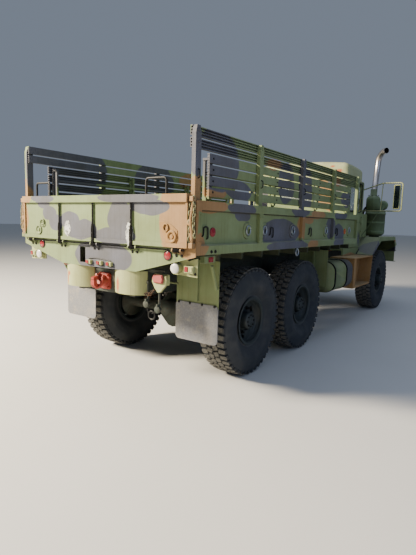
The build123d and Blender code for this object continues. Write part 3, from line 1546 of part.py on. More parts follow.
def splash_guards():
    """Steel splash panels ahead of and behind the rear wheels."""
    pieces = []
    # Columns: y, inner x, outer x, bottom z
    panels = [
        (splash_rear_y, 620.0, 1140.0, frame_bottom_z - 90.0),
        (splash_front_y, 700.0, 1140.0, frame_bottom_z - 160.0),
    ]
    for y, inner_x, outer_x, bottom_z in panels:
        sheet = block((inner_x, outer_x), (y - 4.0, y), (bottom_z, bed_under_z))
        rib_x = (inner_x + outer_x) / 2
        rib = block((rib_x - 16.0, rib_x + 16.0), (y, y + 14.0), (bottom_z + 60.0, bed_under_z))
        brace_z = frame_bottom_z + 120.0
        brace = rod((inner_x + 20.0, y - 2.0, brace_z), (frame_half_width, y - 2.0, brace_z), 11.0)
        pieces.append(fused([sheet, rib, brace]))
    return pair(fused(pieces))


def mud_flaps():
    """Rubber flaps bolted below the rear splash panels."""
    sketch = Pos(880.0, frame_bottom_z - 245.0) * RectangleRounded(flap_width, flap_height, 45.0)
    return pair(along_y(sketch, splash_rear_y + 0.3, splash_rear_y + 10.0))


def pintle_hook():
    """The tow hook with its flange plate on the rear cross member."""
    face_y = rail_rear_y
    z = hook_z
    flange = along_y(Pos(0, z) * RectangleRounded(170.0, 170.0, 24.0), face_y, face_y + 16.0)
    body = loft([
        Plane(origin=(0, face_y + 15.0, z), z_dir=(0, 1, 0)) * Circle(66.0),
        Plane(origin=(0, face_y + 70.0, z), z_dir=(0, 1, 0)) * Circle(44.0),
    ])
    horn = outline(
        (face_y + 60.0, z - 44.0),
        (face_y + 150.0, z - 60.0),
        (face_y + 172.0, z - 30.0),
        (face_y + 172.0, z + 20.0),
        (face_y + 140.0, z + 20.0),
        (face_y + 128.0, z - 20.0),
        (face_y + 100.0, z - 26.0),
        (face_y + 84.0, z + 10.0),
        (face_y + 60.0, z + 20.0),
    )
    jaw = outline(
        (face_y + 60.0, z + 24.0),
        (face_y + 90.0, z + 14.0),
        (face_y + 130.0, z + 22.0),
        (face_y + 172.0, z + 26.0),
        (face_y + 172.0, z + 46.0),
        (face_y + 120.0, z + 58.0),
        (face_y + 60.0, z + 44.0),
    )
    return fused([flange, body, along_x(horn, -24.0, 24.0), along_x(jaw, -20.0, 20.0)])


def bumperettes():
    """Bowed plates at the ends of the rails, each on a stub."""
    inner_x = bumperette_x - bumperette_half
    outer_x = bumperette_x + bumperette_half
    back_y = rail_rear_y
    face_y = back_y + bumperette_wall
    outer = ThreePointArc((inner_x, face_y), (bumperette_x, face_y + bumperette_bow), (outer_x, face_y))
    inner = ThreePointArc((outer_x, back_y), (bumperette_x, back_y + bumperette_bow), (inner_x, back_y))
    ends = Line((outer_x, face_y), (outer_x, back_y)) + Line((inner_x, back_y), (inner_x, face_y))
    plate = along_z(make_face(outer + ends + inner), frame_bottom_z + 40.0, frame_top_z + 20.0)
    stub = block(
        (frame_half_width - 60.0, frame_half_width - bumperette_wall),
        (back_y, back_y + bumperette_bow + 2.0),
        (frame_bottom_z + 60.0, frame_top_z - 20.0),
    )
    return pair(fused([plate, stub]))


nodes = {
    "chassis_frame": chassis_frame(),
    "front_bumper": front_bumper(),
    "leaf_springs": leaf_springs(),
    "front_axle": front_axle(),
    "rear_axles": rear_axles(),
    "steering_knuckle_left": steering_knuckle(),
    "steering_knuckle_right": mirrored(steering_knuckle()),
    "engine_block": engine_block(),
    "radiator": radiator(),
    "driveline": fused([transmission(), drive_shafts()]),
    "hood": hood(),
    "fenders": pair(fender()),
    "headlamps": headlamps(),
    "cab_floor": cab_floor(),
    "cab_rear_wall": cab_rear_wall(),
    "cab_cowl": cab_cowl(),
    "windshield_frame": windshield_frame(),
    "cab_glass": cab_glass(),
    "cab_roof": cab_roof(),
    "dashboard": dashboard(),
    "steering_wheel": steering_wheel(),
    "cab_seat_frames": cab_seat_frames(),
    "seat_cushions": fused([seat_cushions(*row) for row in seat_table]),
    "door_left": door(),
    "door_right": mirrored(door()),
    "mirrors": pair(mirror_arm()),
    "air_cleaner": air_cleaner(),
    "exhaust_stack": exhaust_stack(),
    "fuel_tank": fuel_tank(),
    "step_boxes": pair(step_box()),
    "air_tanks": air_tanks(),
    "bed_floor": bed_floor(),
    "bed_side_left": bed_side(),
    "bed_side_right": mirrored(bed_side()),
    "bed_headboard": bed_headboard(),
    "racks": pair(rack()),
    "troop_seat_left": troop_seat(),
    "troop_seat_right": mirrored(troop_seat()),
    "seat_legs_left": seat_legs(),
    "seat_legs_right": mirrored(seat_legs()),
    "tailgate": tailgate(),
    "rear_sill": rear_sill(),
    "tail_lamps": tail_lamps(),
    "splash_guards": splash_guards(),
    "mud_flaps": mud_flaps(),
    "pintle_hook": pintle_hook(),
    "bumperettes": bumperettes(),
}

os.makedirs("parts", exist_ok=True)
for name, shape in nodes.items():
    export_step(shape, f"parts/{name}.step")

# Columns: end of the name, axle y, depth of the dish
stations = [
    ("front", front_axle_y, front_dish),
    ("middle", mid_axle_y, rear_dish),
    ("rear", rear_axle_y, rear_dish),
]
for station, axle_y, dish in stations:
    left_wheel = wheel(axle_y, dish)
    left_tyre = tyre(axle_y)
    export_step(left_wheel, f"parts/wheel_{station}_left.step")
    export_step(mirrored(left_wheel), f"parts/wheel_{station}_right.step")
    export_step(left_tyre, f"parts/tyre_{station}_left.step")
    export_step(mirrored(left_tyre), f"parts/tyre_{station}_right.step")
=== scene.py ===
import json
import logging
import math
from collections.abc import Iterable, Iterator, Sequence
from dataclasses import dataclass, field
from enum import Enum

import bmesh
import bpy
from mathutils import Matrix, Vector

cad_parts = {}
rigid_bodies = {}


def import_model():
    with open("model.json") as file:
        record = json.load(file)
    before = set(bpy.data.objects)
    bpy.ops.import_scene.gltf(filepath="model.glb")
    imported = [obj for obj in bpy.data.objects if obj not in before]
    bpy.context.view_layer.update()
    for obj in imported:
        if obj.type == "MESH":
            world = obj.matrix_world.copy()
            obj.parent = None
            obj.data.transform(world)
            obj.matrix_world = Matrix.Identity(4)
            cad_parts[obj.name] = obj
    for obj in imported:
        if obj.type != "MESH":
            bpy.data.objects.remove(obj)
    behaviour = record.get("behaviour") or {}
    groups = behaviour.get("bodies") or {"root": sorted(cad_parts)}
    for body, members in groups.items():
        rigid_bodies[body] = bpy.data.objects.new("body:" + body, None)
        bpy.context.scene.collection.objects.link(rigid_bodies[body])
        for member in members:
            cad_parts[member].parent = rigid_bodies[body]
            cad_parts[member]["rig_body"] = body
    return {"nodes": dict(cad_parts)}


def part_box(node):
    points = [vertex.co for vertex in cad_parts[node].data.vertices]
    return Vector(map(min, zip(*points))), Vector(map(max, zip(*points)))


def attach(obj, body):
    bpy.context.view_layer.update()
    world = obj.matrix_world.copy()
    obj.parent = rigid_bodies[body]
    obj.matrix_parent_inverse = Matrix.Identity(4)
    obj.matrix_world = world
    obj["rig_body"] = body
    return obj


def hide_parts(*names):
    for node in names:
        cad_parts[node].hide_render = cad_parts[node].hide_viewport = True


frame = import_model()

log = logging.getLogger("truck")

Point = tuple[float, float, float]
Flat = tuple[float, float]
Number = bpy.types.NodeSocket | float
Colour = bpy.types.NodeSocket | tuple[float, float, float, float]
MM = 0.001
UP: Point = (0, 0, 1)
REAR: Point = (0, 1, 0)
FRONT: Point = (0, -1, 0)
# The sign of X on the left and on the right
BOTH_SIDES = (1, -1)
CHASSIS = "chassis"
PAINT_SLOT = "camouflage_paint"
STATIONS = ("front", "middle", "rear")
# The x of the five hinges between the tailgate and the sill
HINGES_X = (0.0, 0.530, -0.530, 1.060, -1.060)
WHEEL_NODES = tuple(name for name in frame["nodes"] if name.startswith("wheel_"))
# Corners of a CAD node that lie closer than this are one corner, in metres
WELD = 2e-6
# The least radius of a turned form, so that its end has an area
POINTED = 1e-5
# Edges of a CAD node's smooth copy flatter than this many degrees are shaded smooth
CURVED = 32.0


class Axis(Enum):
    """The direction that a flat outline is drawn out along."""

    X = 0
    Y = 1
    Z = 2


class Side(Enum):
    """The truck's two sides: the left is towards +X."""

    LEFT = 1
    RIGHT = -1

    @property
    def word(self) -> str:
        """The side's name, as the bodies spell it."""
        return self.name.lower()


def linear(colour: str) -> tuple[float, float, float, float]:
    """Turns an sRGB hex colour to linear.

    Args:
        colour: Six hex digits after a hash.

    Returns:
        Red, green and blue in linear light, and 1 for alpha.
    """
    parts = [int(colour[i:i + 2], 16) / 255 for i in (1, 3, 5)]
    return tuple(p / 12.92 if p <= 0.04045 else ((p + 0.055) / 1.055) ** 2.4 for p in parts) + (1.0,)


def add(tree: bpy.types.NodeTree, kind: str, inputs: dict[str | int, object] | None = None,
        **settings: object) -> bpy.types.Node:
    """Adds a node to a tree.

    Args:
        tree: The tree that takes it.
        kind: The node's type name.
        inputs: Input name or number to a value, or to the output socket or the node that feeds it.
        settings: The node's own properties.

    Returns:
        The new node.
    """
    node = tree.nodes.new(kind)
    for key, value in settings.items():
        setattr(node, key, value)
    for key, value in (inputs or {}).items():
        socket = node.inputs[key]
        if isinstance(value, bpy.types.Node):
            value = value.outputs[0]
        if isinstance(value, bpy.types.NodeSocket):
            tree.links.new(value, socket)
        else:
            socket.default_value = value
    return node


def mixed(tree: bpy.types.NodeTree, factor: Number, first: Colour, second: Colour,
          blend: str = "MIX") -> bpy.types.NodeSocket:
    """Mixes two colours.

    Args:
        tree: The tree that takes the node.
        factor: A number or a socket from 0 to 1.
        first: The colour at 0.
        second: The colour at 1.
        blend: The blending mode.

    Returns:
        The mixed colour's socket.
    """
    node = add(tree, "ShaderNodeMix", {0: factor, 6: first, 7: second}, data_type="RGBA", blend_type=blend)
    return node.outputs[2]


def step(tree: bpy.types.NodeTree, value: Number, low: float, high: float) -> bpy.types.NodeSocket:
    """Maps a value from low..high to 0..1, held at the ends, and turned round where low is above high."""
    node = add(tree, "ShaderNodeMapRange", {"Value": value, "From Min": low, "From Max": high})
    return node.outputs[0]


def noise(tree: bpy.types.NodeTree, where: bpy.types.NodeSocket, size_mm: float, detail: float = 3.0,
          rough: float = 0.55, stretch: Point = (1.0, 1.0, 1.0), offset: float = 0.0) -> bpy.types.NodeSocket:
    """Adds a noise pattern of a real size.

    Args:
        tree: The tree that takes the nodes.
        where: The coordinate socket, in metres.
        size_mm: The width of one feature.
        detail: Octaves of finer noise.
        rough: How strong the finer noise is.
        stretch: How many times longer the features are along each axis.
        offset: Moves the pattern, so that two layers differ.

    Returns:
        The noise value's socket.
    """
    scale = tuple(1.0 / s for s in stretch)
    place = add(tree, "ShaderNodeMapping", {"Vector": where, "Scale": scale, "Location": (offset,) * 3})
    pattern = add(tree, "ShaderNodeTexNoise", {"Vector": place, "Scale": 1.0 / (size_mm * MM),
                                               "Detail": detail, "Roughness": rough})
    return pattern.outputs[0]


def new_material(name: str) -> tuple[bpy.types.Material, bpy.types.NodeTree, bpy.types.Node,
                                     bpy.types.NodeSocket]:
    """Makes an empty material.

    Args:
        name: What the real finish is called.

    Returns:
        The material, its tree, its shader and its Object coordinates.
    """
    material = bpy.data.materials.new(name)
    material.use_nodes = True
    tree = material.node_tree
    tree.nodes.clear()
    shader = add(tree, "ShaderNodeBsdfPrincipled")
    add(tree, "ShaderNodeOutputMaterial", {"Surface": shader})
    where = add(tree, "ShaderNodeTexCoord").outputs["Object"]
    return material, tree, shader, where


def raise_bumps(tree: bpy.types.NodeTree, shader: bpy.types.Node, height: bpy.types.NodeSocket,
                depth_mm: float, strength: float = 1.0) -> None:
    """Feeds a height pattern to the shader as bump, with a real depth."""
    bump = add(tree, "ShaderNodeBump", {"Height": height, "Distance": depth_mm * MM, "Strength": strength})
    tree.links.new(bump.outputs[0], shader.inputs["Normal"])


@dataclass(frozen=True)
class Patch:
    """One sprayed patch of camouflage: an ellipsoid in the truck's frame, in metres."""

    centre: Point
    reach: Point


def patches(*rows: tuple[float, ...]) -> tuple[Patch, ...]:
    """Makes patches from rows of a centre's x, y, z and a reach along x, y, z."""
    return tuple(Patch(row[:3], row[3:]) for row in rows)


# Patches that the photograph shows on the rear face, the right side and the racks.
BLACK_PATCHES = patches(
    (0.80, 3.84, 1.895, 0.21, 0.10, 0.045), (-0.48, 3.84, 1.895, 0.40, 0.10, 0.046),
    (0.81, 3.84, 1.84, 0.11, 0.10, 0.06), (0.71, 3.84, 1.74, 0.12, 0.10, 0.08),
    (0.61, 3.84, 1.65, 0.11, 0.10, 0.09), (0.37, 3.84, 1.68, 0.16, 0.10, 0.10),
    (0.20, 3.84, 1.59, 0.26, 0.10, 0.10), (-0.37, 3.84, 1.72, 0.17, 0.10, 0.17),
    (-0.28, 3.84, 1.54, 0.29, 0.10, 0.08), (-0.73, 3.84, 1.82, 0.24, 0.10, 0.07),
    (-0.08, 3.79, 1.33, 0.42, 0.06, 0.17),
    (-1.22, 3.05, 1.84, 0.09, 0.27, 0.06), (-1.22, 1.70, 1.85, 0.09, 0.27, 0.06),
    (-1.22, 0.28, 1.84, 0.09, 0.28, 0.06), (-1.20, 2.15, 1.60, 0.09, 0.50, 0.15),
    (-1.20, 0.62, 1.66, 0.09, 0.15, 0.15), (-1.20, 0.24, 1.58, 0.09, 0.24, 0.14),
    (-1.23, 2.00, 1.45, 0.09, 0.55, 0.06), (-1.23, 0.30, 1.45, 0.09, 0.21, 0.06),
    (-1.20, 3.00, 1.78, 0.09, 0.15, 0.07),
    # Next, on the right rack's rearmost bay: camouflage black, whose upper part over the top planks is also
    # painted shade of their ribs
    (-1.15, 3.40, 2.24, 0.10, 0.36, 0.28), (-1.15, 3.02, 2.00, 0.10, 0.26, 0.09),
    (-1.15, 2.00, 2.16, 0.10, 0.22, 0.24), (-1.15, 1.42, 2.10, 0.10, 0.18, 0.33),
    (-1.15, -0.10, 2.10, 0.10, 0.24, 0.12), (-1.20, 3.75, 2.34, 0.06, 0.07, 0.30),
    (-1.20, 1.61, 2.20, 0.06, 0.07, 0.40),
    (1.15, 3.25, 2.25, 0.10, 0.62, 0.42), (1.15, 1.70, 2.20, 0.10, 0.45, 0.36),
    (-1.12, -0.37, 0.95, 0.32, 0.16, 0.32),
)
BROWN_PATCHES = patches(
    (1.13, 3.84, 1.90, 0.13, 0.10, 0.06), (-1.12, 3.84, 1.70, 0.27, 0.10, 0.34),
    (1.20, 3.84, 1.70, 0.08, 0.10, 0.20), (-1.20, 3.80, 1.44, 0.14, 0.06, 0.08),
    (-1.22, 3.56, 1.84, 0.09, 0.26, 0.07), (-1.22, 1.15, 1.84, 0.09, 0.25, 0.06),
    (-1.20, 1.60, 1.66, 0.09, 0.12, 0.16), (-1.20, 1.38, 1.76, 0.09, 0.17, 0.06),
    (-1.23, 1.28, 1.45, 0.09, 0.18, 0.06), (-1.22, 3.70, 1.50, 0.09, 0.10, 0.11),
    (-1.15, 3.42, 1.97, 0.10, 0.17, 0.06), (-1.15, 2.30, 2.34, 0.10, 0.20, 0.06),
    (-1.15, 0.36, 2.32, 0.10, 0.17, 0.07), (-1.20, 3.75, 1.95, 0.06, 0.07, 0.12),
    (1.15, 0.80, 2.34, 0.10, 0.32, 0.14), (1.20, 3.73, 2.00, 0.08, 0.10, 0.17),
    (-1.00, -1.30, 0.90, 0.45, 0.72, 0.32),
)


class CamouflagePattern:
    """The shared pattern that says where black and brown lie over the green, in the truck's frame."""

    group: bpy.types.NodeTree | None = None

    @classmethod
    def field(cls, tree: bpy.types.NodeTree, where: bpy.types.NodeSocket,
              placed: Sequence[Patch]) -> bpy.types.NodeSocket:
        """How far a point is from the nearest patch, with 1 on its edge.

        Args:
            tree: The tree that takes the nodes.
            where: The coordinate socket, in metres.
            placed: The patches.

        Returns:
            The socket of the distance.
        """
        nearest = None
        for patch in placed:
            local = add(tree, "ShaderNodeMapping", {"Vector": where, "Location": patch.centre,
                                                    "Scale": patch.reach}, vector_type="TEXTURE").outputs[0]
            reach = add(tree, "ShaderNodeVectorMath", {0: local}, operation="LENGTH").outputs["Value"]
            if nearest is None:
                nearest = reach
            else:
                nearest = add(tree, "ShaderNodeMath", {0: nearest, 1: reach}, operation="MINIMUM").outputs[0]
        return nearest

    @classmethod
    def masks(cls, tree: bpy.types.NodeTree,
              where: bpy.types.NodeSocket) -> tuple[bpy.types.NodeSocket, bpy.types.NodeSocket]:
        """Adds the pattern to a material's tree.

        Args:
            tree: The material's tree.
            where: Its coordinates.

        Returns:
            The sockets of the black mask and the brown mask.
        """
        if cls.group is None:
            cls.group = cls._build()
        node = add(tree, "ShaderNodeGroup", node_tree=cls.group)
        tree.links.new(where, node.inputs[0])
        return node.outputs[0], node.outputs[1]

    @classmethod
    def _build(cls) -> bpy.types.NodeTree:
        """Builds the group: placed patches where the photograph shows them and free blots elsewhere.

        Returns:
            The group.
        """
        group = bpy.data.node_groups.new("Camouflage pattern", "ShaderNodeTree")
        group.interface.new_socket("Where", in_out="INPUT", socket_type="NodeSocketVector")
        group.interface.new_socket("Black", in_out="OUTPUT", socket_type="NodeSocketFloat")
        group.interface.new_socket("Brown", in_out="OUTPUT", socket_type="NodeSocketFloat")
        source = add(group, "NodeGroupInput").outputs[0]
        # Sprayed edges wander by about 30 mm over a hand's width
        ripple = add(group, "ShaderNodeTexNoise", {"Vector": source, "Scale": 4.0, "Detail": 1.0})
        centred = add(group, "ShaderNodeVectorMath", {0: ripple.outputs["Color"], 1: (0.5, 0.5, 0.5)},
                      operation="SUBTRACT")
        shift = add(group, "ShaderNodeVectorMath", {0: centred, "Scale": 0.07}, operation="SCALE")
        where = add(group, "ShaderNodeVectorMath", {0: source, 1: shift}).outputs[0]
        split = add(group, "ShaderNodeSeparateXYZ", {0: source})
        # Free blots lie ahead of the bed and on the left side, which the photograph doesn't show
        ahead = step(group, split.outputs["Y"], -0.58, -0.66)
        left = step(group, split.outputs["X"], 1.17, 1.19)
        left_only = add(group, "ShaderNodeMath", {0: left, 1: step(group, split.outputs["Y"], 3.79, 3.70)},
                        operation="MULTIPLY").outputs[0]
        free = add(group, "ShaderNodeMath", {0: ahead, 1: left_only}, operation="MAXIMUM").outputs[0]
        results = []
        # Columns: placed patches, shift of the free blots, threshold of the free blots
        for known, offset, low in ((BLACK_PATCHES, 3.7, 0.56), (BROWN_PATCHES, 11.3, 0.60)):
            placed = step(group, cls.field(group, where, known), 1.02, 0.98)
            blots = step(group, noise(group, where, 900.0, 0.5, 0.4, offset=offset), low, low + 0.012)
            loose = add(group, "ShaderNodeMath", {0: blots, 1: free}, operation="MULTIPLY").outputs[0]
            if known is BROWN_PATCHES:
                # The right side of the cab is green and black only
                inner = step(group, split.outputs["X"], -0.70, -0.62)
                loose = add(group, "ShaderNodeMath", {0: loose, 1: inner}, operation="MULTIPLY").outputs[0]
            either = add(group, "ShaderNodeMath", {0: placed, 1: loose}, operation="MAXIMUM")
            results.append(either.outputs[0])
        add(group, "NodeGroupOutput", {0: results[0], 1: results[1]})
        return group


# What weather, boots and the road leave on the paint, and the painted shade of its undersides and of the
# beams under the bed
SUN_FADE = "#e6e2d2"
RAIN_STREAK = "#a8a090"
CHALK = "#c9c6a6"
UNDERSIDE_SHADE_AND_DIRT = "#2f2e27"
UNDER_BED_SHADE_BLACK = "#1d1e1a"
ROAD_DUST = "#8d8164"
RUST_DARK, RUST_PALE, RUST_RUN = "#6b3a22", "#9a5a36", "#a0502c"


@dataclass(frozen=True)
class CamouflagePaint:
    """Alkyd vehicle paint in three colours, chalked by sun: matt, streaked and chipped to rust.

    Attributes:
        name: The material's name.
        green: The base colour.
        black: The black, faded to a warm grey.
        brown: The brown, faded to tan.
        rust: How much of the surface has rusted through, from 0 to 1.
        bloom: A pale chalk that lies on faces that look up, from 0 to 1.
        camouflage: Whether the black and brown lie over the green.
        stains: Where rust has run down the paint.
        soiled_below: The height under which the paint is darkened as painted shade, in metres.
        dust_top: The height where the road's dust begins.
        dust_full: The height under which it is thickest.
    """

    name: str
    green: str = "#7a8a63"
    black: str = "#595b66"
    brown: str = "#9a7a55"
    rust: float = 0.25
    bloom: float = 0.25
    camouflage: bool = True
    stains: tuple[Patch, ...] = ()
    soiled_below: float = 0.0
    dust_top: float = 1.25
    dust_full: float = 0.55

    def build(self) -> bpy.types.Material:
        """Builds the material from the camouflage pattern, fading, streaks, rust, painted shade with some
        road dirt, and dust.

        Returns:
            The material.
        """
        material, tree, shader, where = new_material(self.name)
        colour = linear(self.green)
        if self.camouflage:
            black, brown = CamouflagePattern.masks(tree, where)
            colour = mixed(tree, brown, colour, linear(self.brown))
            colour = mixed(tree, black, colour, linear(self.black))
        fade = step(tree, noise(tree, where, 260.0, 4.0), 0.3, 0.7)
        faded = mixed(tree, 1.0, colour, linear(SUN_FADE), "MULTIPLY")
        colour = mixed(tree, fade, colour, faded)
        # Rain streaks are about 15 mm wide and 30 times as long
        streaks = step(tree, noise(tree, where, 15.0, 3.0, 0.6, (1.0, 1.0, 30.0)), 0.52, 0.75)
        soft = add(tree, "ShaderNodeMath", {0: streaks, 1: 0.35}, operation="MULTIPLY").outputs[0]
        colour = mixed(tree, soft, colour, mixed(tree, 1.0, colour, linear(RAIN_STREAK), "MULTIPLY"))
        normal = add(tree, "ShaderNodeNewGeometry").outputs["Normal"]
        up = add(tree, "ShaderNodeSeparateXYZ", {0: normal}).outputs["Z"]
        chalk = add(tree, "ShaderNodeMath", {0: step(tree, up, 0.2, 0.9), 1: self.bloom},
                    operation="MULTIPLY").outputs[0]
        colour = mixed(tree, chalk, colour, linear(CHALK))
        # Faces that look down are darkened: painted shade, with some road dirt
        under = add(tree, "ShaderNodeMath", {0: step(tree, up, -0.4, -0.9), 1: 0.75}, operation="MULTIPLY")
        colour = mixed(tree, under.outputs[0], colour, linear(UNDERSIDE_SHADE_AND_DIRT))
        # Chips are about 8 mm across and gather in patches
        gather = 0.3 * self.rust
        chips = add(tree, "ShaderNodeMath", {
            0: step(tree, noise(tree, where, 9.0, 5.0, 0.7), 0.63, 0.66),
            1: step(tree, noise(tree, where, 210.0, 2.0, offset=5.0), 0.74 - gather, 0.80 - gather),
        }, operation="MULTIPLY").outputs[0]
        rust = mixed(tree, noise(tree, where, 5.0), linear(RUST_DARK), linear(RUST_PALE))
        colour = mixed(tree, chips, colour, rust)
        if self.stains:
            run = step(tree, CamouflagePattern.field(tree, where, self.stains), 1.1, 0.5)
            broken = step(tree, noise(tree, where, 14.0, 5.0, 0.7, (1.0, 1.0, 3.0)), 0.30, 0.48)
            stain = add(tree, "ShaderNodeMath", {0: run, 1: broken}, operation="MULTIPLY").outputs[0]
            colour = mixed(tree, stain, colour, linear(RUST_RUN))
        height = add(tree, "ShaderNodeSeparateXYZ", {0: where}).outputs["Z"]
        # Below the given height the paint is darkened almost to black: painted shade under the bed
        if self.soiled_below:
            under_bed_shade = step(tree, height, self.soiled_below + 0.004, self.soiled_below - 0.012)
            most = add(tree, "ShaderNodeMath", {0: under_bed_shade, 1: 0.86}, operation="MULTIPLY").outputs[0]
            colour = mixed(tree, most, colour, linear(UNDER_BED_SHADE_BLACK))
        low = step(tree, height, self.dust_top, self.dust_full)
        dust = add(tree, "ShaderNodeMath", {0: low, 1: step(tree, noise(tree, where, 60.0, 5.0), 0.35, 0.7)},
                   operation="MULTIPLY").outputs[0]
        half = add(tree, "ShaderNodeMath", {0: dust, 1: 0.4}, operation="MULTIPLY").outputs[0]
        colour = mixed(tree, half, colour, linear(ROAD_DUST))
        tree.links.new(colour, shader.inputs["Base Color"])
        rough = add(tree, "ShaderNodeMapRange", {"Value": noise(tree, where, 35.0, 4.0), "To Min": 0.62,
                                                 "To Max": 0.86})
        tree.links.new(rough.outputs[0], shader.inputs["Roughness"])
        shader.inputs["Specular IOR Level"].default_value = 0.35
        # Brush and roller marks of a few millimetres, and sheet that has been dented over a hand's width
        dents = add(tree, "ShaderNodeMath", {0: noise(tree, where, 180.0, 1.0), 1: 4.0}, operation="MULTIPLY")
        height = add(tree, "ShaderNodeMath", {0: dents, 1: noise(tree, where, 4.0, 4.0)})
        raise_bumps(tree, shader, height.outputs[0], 0.8, 0.55)
        return material


@dataclass(frozen=True)
class GrimyMetal:
    """Plain painted or bare metal with grime or rust in a second colour.

    Attributes:
        name: The material's name.
        colour: The clean colour.
        grime: The colour of the grime or rust.
        cover: How much of it is grimy, from 0 to 1.
        patch_mm: The size of a grimy patch.
        metallic: 1 for bare metal.
        roughness: The clean roughness.
        stretch: Draws the patches out along an axis.
        shine: The specular level, 0.5 for clean paint and less for soot and dry grease.
    """

    name: str
    colour: str
    grime: str
    cover: float = 0.5
    patch_mm: float = 40.0
    metallic: float = 0.0
    roughness: float = 0.6
    stretch: Point = (1.0, 1.0, 1.0)
    shine: float = 0.5

    def build(self) -> bpy.types.Material:
        """Builds the material: two layers of grime at a large and a small scale.

        Returns:
            The material.
        """
        material, tree, shader, where = new_material(self.name)
        wide = noise(tree, where, self.patch_mm * 4, 4.0, stretch=self.stretch)
        large = step(tree, wide, 0.9 - 0.7 * self.cover, 1.1 - 0.7 * self.cover)
        close = noise(tree, where, self.patch_mm, 6.0, 0.65, self.stretch, 2.0)
        small = step(tree, close, 0.8 - 0.6 * self.cover, 0.95 - 0.6 * self.cover)
        both = add(tree, "ShaderNodeMath", {0: large, 1: small}, operation="MAXIMUM").outputs[0]
        shade = mixed(tree, noise(tree, where, self.patch_mm / 4, 3.0), linear("#b8b8b8"), linear("#ffffff"))
        plain = mixed(tree, both, linear(self.colour), linear(self.grime))
        colour = mixed(tree, 1.0, plain, shade, "MULTIPLY")
        tree.links.new(colour, shader.inputs["Base Color"])
        shader.inputs["Metallic"].default_value = self.metallic
        shader.inputs["Specular IOR Level"].default_value = self.shine
        rough = add(tree, "ShaderNodeMapRange", {"Value": both, "To Min": self.roughness,
                                                 "To Max": min(1.0, self.roughness + 0.25)})
        tree.links.new(rough.outputs[0], shader.inputs["Roughness"])
        raise_bumps(tree, shader, noise(tree, where, self.patch_mm / 8, 5.0), 0.5, 0.4)
        return material


# Tyre rubber, new and worn, and what whitens its bead, its tread and its sidewall
RUBBER_DARK, RUBBER_WORN = "#1e2227", "#2e3339"
BEAD_CHALK, TREAD_DUST, SIDE_DUST = "#6a6c6c", "#8b8678", "#6a675f"


@dataclass(frozen=True)
class TyreRubber:
    """Black tyre rubber with dry mud dust on its tread and a chalky sidewall.

    Attributes:
        name: The material's name.
        hub: The (y, z) of the wheel's centre, in metres.
        tread_radius_mm: Beyond this radius the tread begins.
        bead_radius_mm: Inside this radius the paler bead ring begins.
        ring_mm: The pitch of the moulding rings on the sidewall.
    """

    name: str
    hub: Flat
    tread_radius_mm: float = 588.0
    bead_radius_mm: float = 300.0
    ring_mm: float = 9.0

    def build(self) -> bpy.types.Material:
        """Builds the material: dust by distance from the hub, moulding rings and fine scuffs.

        Returns:
            The material.
        """
        material, tree, shader, where = new_material(self.name)
        spoke = where
        for operation, by in (("SUBTRACT", (0.0, *self.hub)), ("MULTIPLY", (0.0, 1.0, 1.0))):
            spoke = add(tree, "ShaderNodeVectorMath", {0: spoke, 1: by}, operation=operation).outputs[0]
        radius = add(tree, "ShaderNodeVectorMath", {0: spoke}, operation="LENGTH").outputs["Value"]
        base = mixed(tree, noise(tree, where, 90.0, 4.0), linear(RUBBER_DARK), linear(RUBBER_WORN))
        bead = step(tree, radius, self.bead_radius_mm * MM, (self.bead_radius_mm - 14.0) * MM)
        pale = add(tree, "ShaderNodeMath", {0: bead, 1: 0.35}, operation="MULTIPLY").outputs[0]
        base = mixed(tree, pale, base, linear(BEAD_CHALK))
        # Only the worn tops and edges of the blocks carry the pale dust; the grooves stay dark
        tread = step(tree, radius, self.tread_radius_mm * MM, self.tread_radius_mm * MM + 0.014)
        speckle = step(tree, noise(tree, where, 16.0, 6.0, 0.7), 0.36, 0.68)
        dust = add(tree, "ShaderNodeMath", {0: tread, 1: speckle}, operation="MULTIPLY").outputs[0]
        light = add(tree, "ShaderNodeMath", {0: dust, 1: 0.62}, operation="MULTIPLY").outputs[0]
        colour = mixed(tree, light, base, linear(TREAD_DUST))
        washed = step(tree, noise(tree, where, 150.0, 3.0, offset=4.0), 0.45, 0.8)
        wash = add(tree, "ShaderNodeMath", {0: washed, 1: 0.22}, operation="MULTIPLY").outputs[0]
        colour = mixed(tree, wash, colour, linear(SIDE_DUST))
        tree.links.new(colour, shader.inputs["Base Color"])
        shader.inputs["Roughness"].default_value = 0.82
        per_metre = 2 * math.pi / (self.ring_mm * MM)
        rings = add(tree, "ShaderNodeMath", {0: radius, 1: per_metre}, operation="MULTIPLY")
        wave = add(tree, "ShaderNodeMath", {0: rings}, operation="SINE")
        fine = add(tree, "ShaderNodeMath", {0: wave, 1: noise(tree, where, 3.0, 4.0)})
        raise_bumps(tree, shader, fine.outputs[0], 0.3, 0.3)
        return material


@dataclass(frozen=True)
class MouldedLens:
    """A moulded acrylic lens: clear-coloured and glossy, with a fine diamond relief.

    Attributes:
        name: The material's name.
        colour: The lens's colour.
        relief_mm: The pitch of its relief.
    """

    name: str
    colour: str
    relief_mm: float = 6.0

    def build(self) -> bpy.types.Material:
        """Builds the material: a voronoi relief under a smooth gloss, dulled by dust.

        Returns:
            The material.
        """
        material, tree, shader, where = new_material(self.name)
        cells = add(tree, "ShaderNodeTexVoronoi", {"Vector": where, "Scale": 1.0 / (self.relief_mm * MM),
                                                   "Randomness": 0.0})
        dusty = step(tree, noise(tree, where, 25.0, 4.0), 0.45, 0.8)
        soft = add(tree, "ShaderNodeMath", {0: dusty, 1: 0.14}, operation="MULTIPLY").outputs[0]
        # The colour darkens towards the edges of the relief's cells: painted shade in the relief
        shade = mixed(tree, cells.outputs["Distance"], linear(self.colour), linear("#201018"), "MULTIPLY")
        tree.links.new(mixed(tree, soft, mixed(tree, 0.35, linear(self.colour), shade), linear("#b8b0a0")),
                       shader.inputs["Base Color"])
        shader.inputs["Roughness"].default_value = 0.22
        shader.inputs["IOR"].default_value = 1.49
        raise_bumps(tree, shader, cells.outputs["Distance"], 0.6, 0.5)
        return material


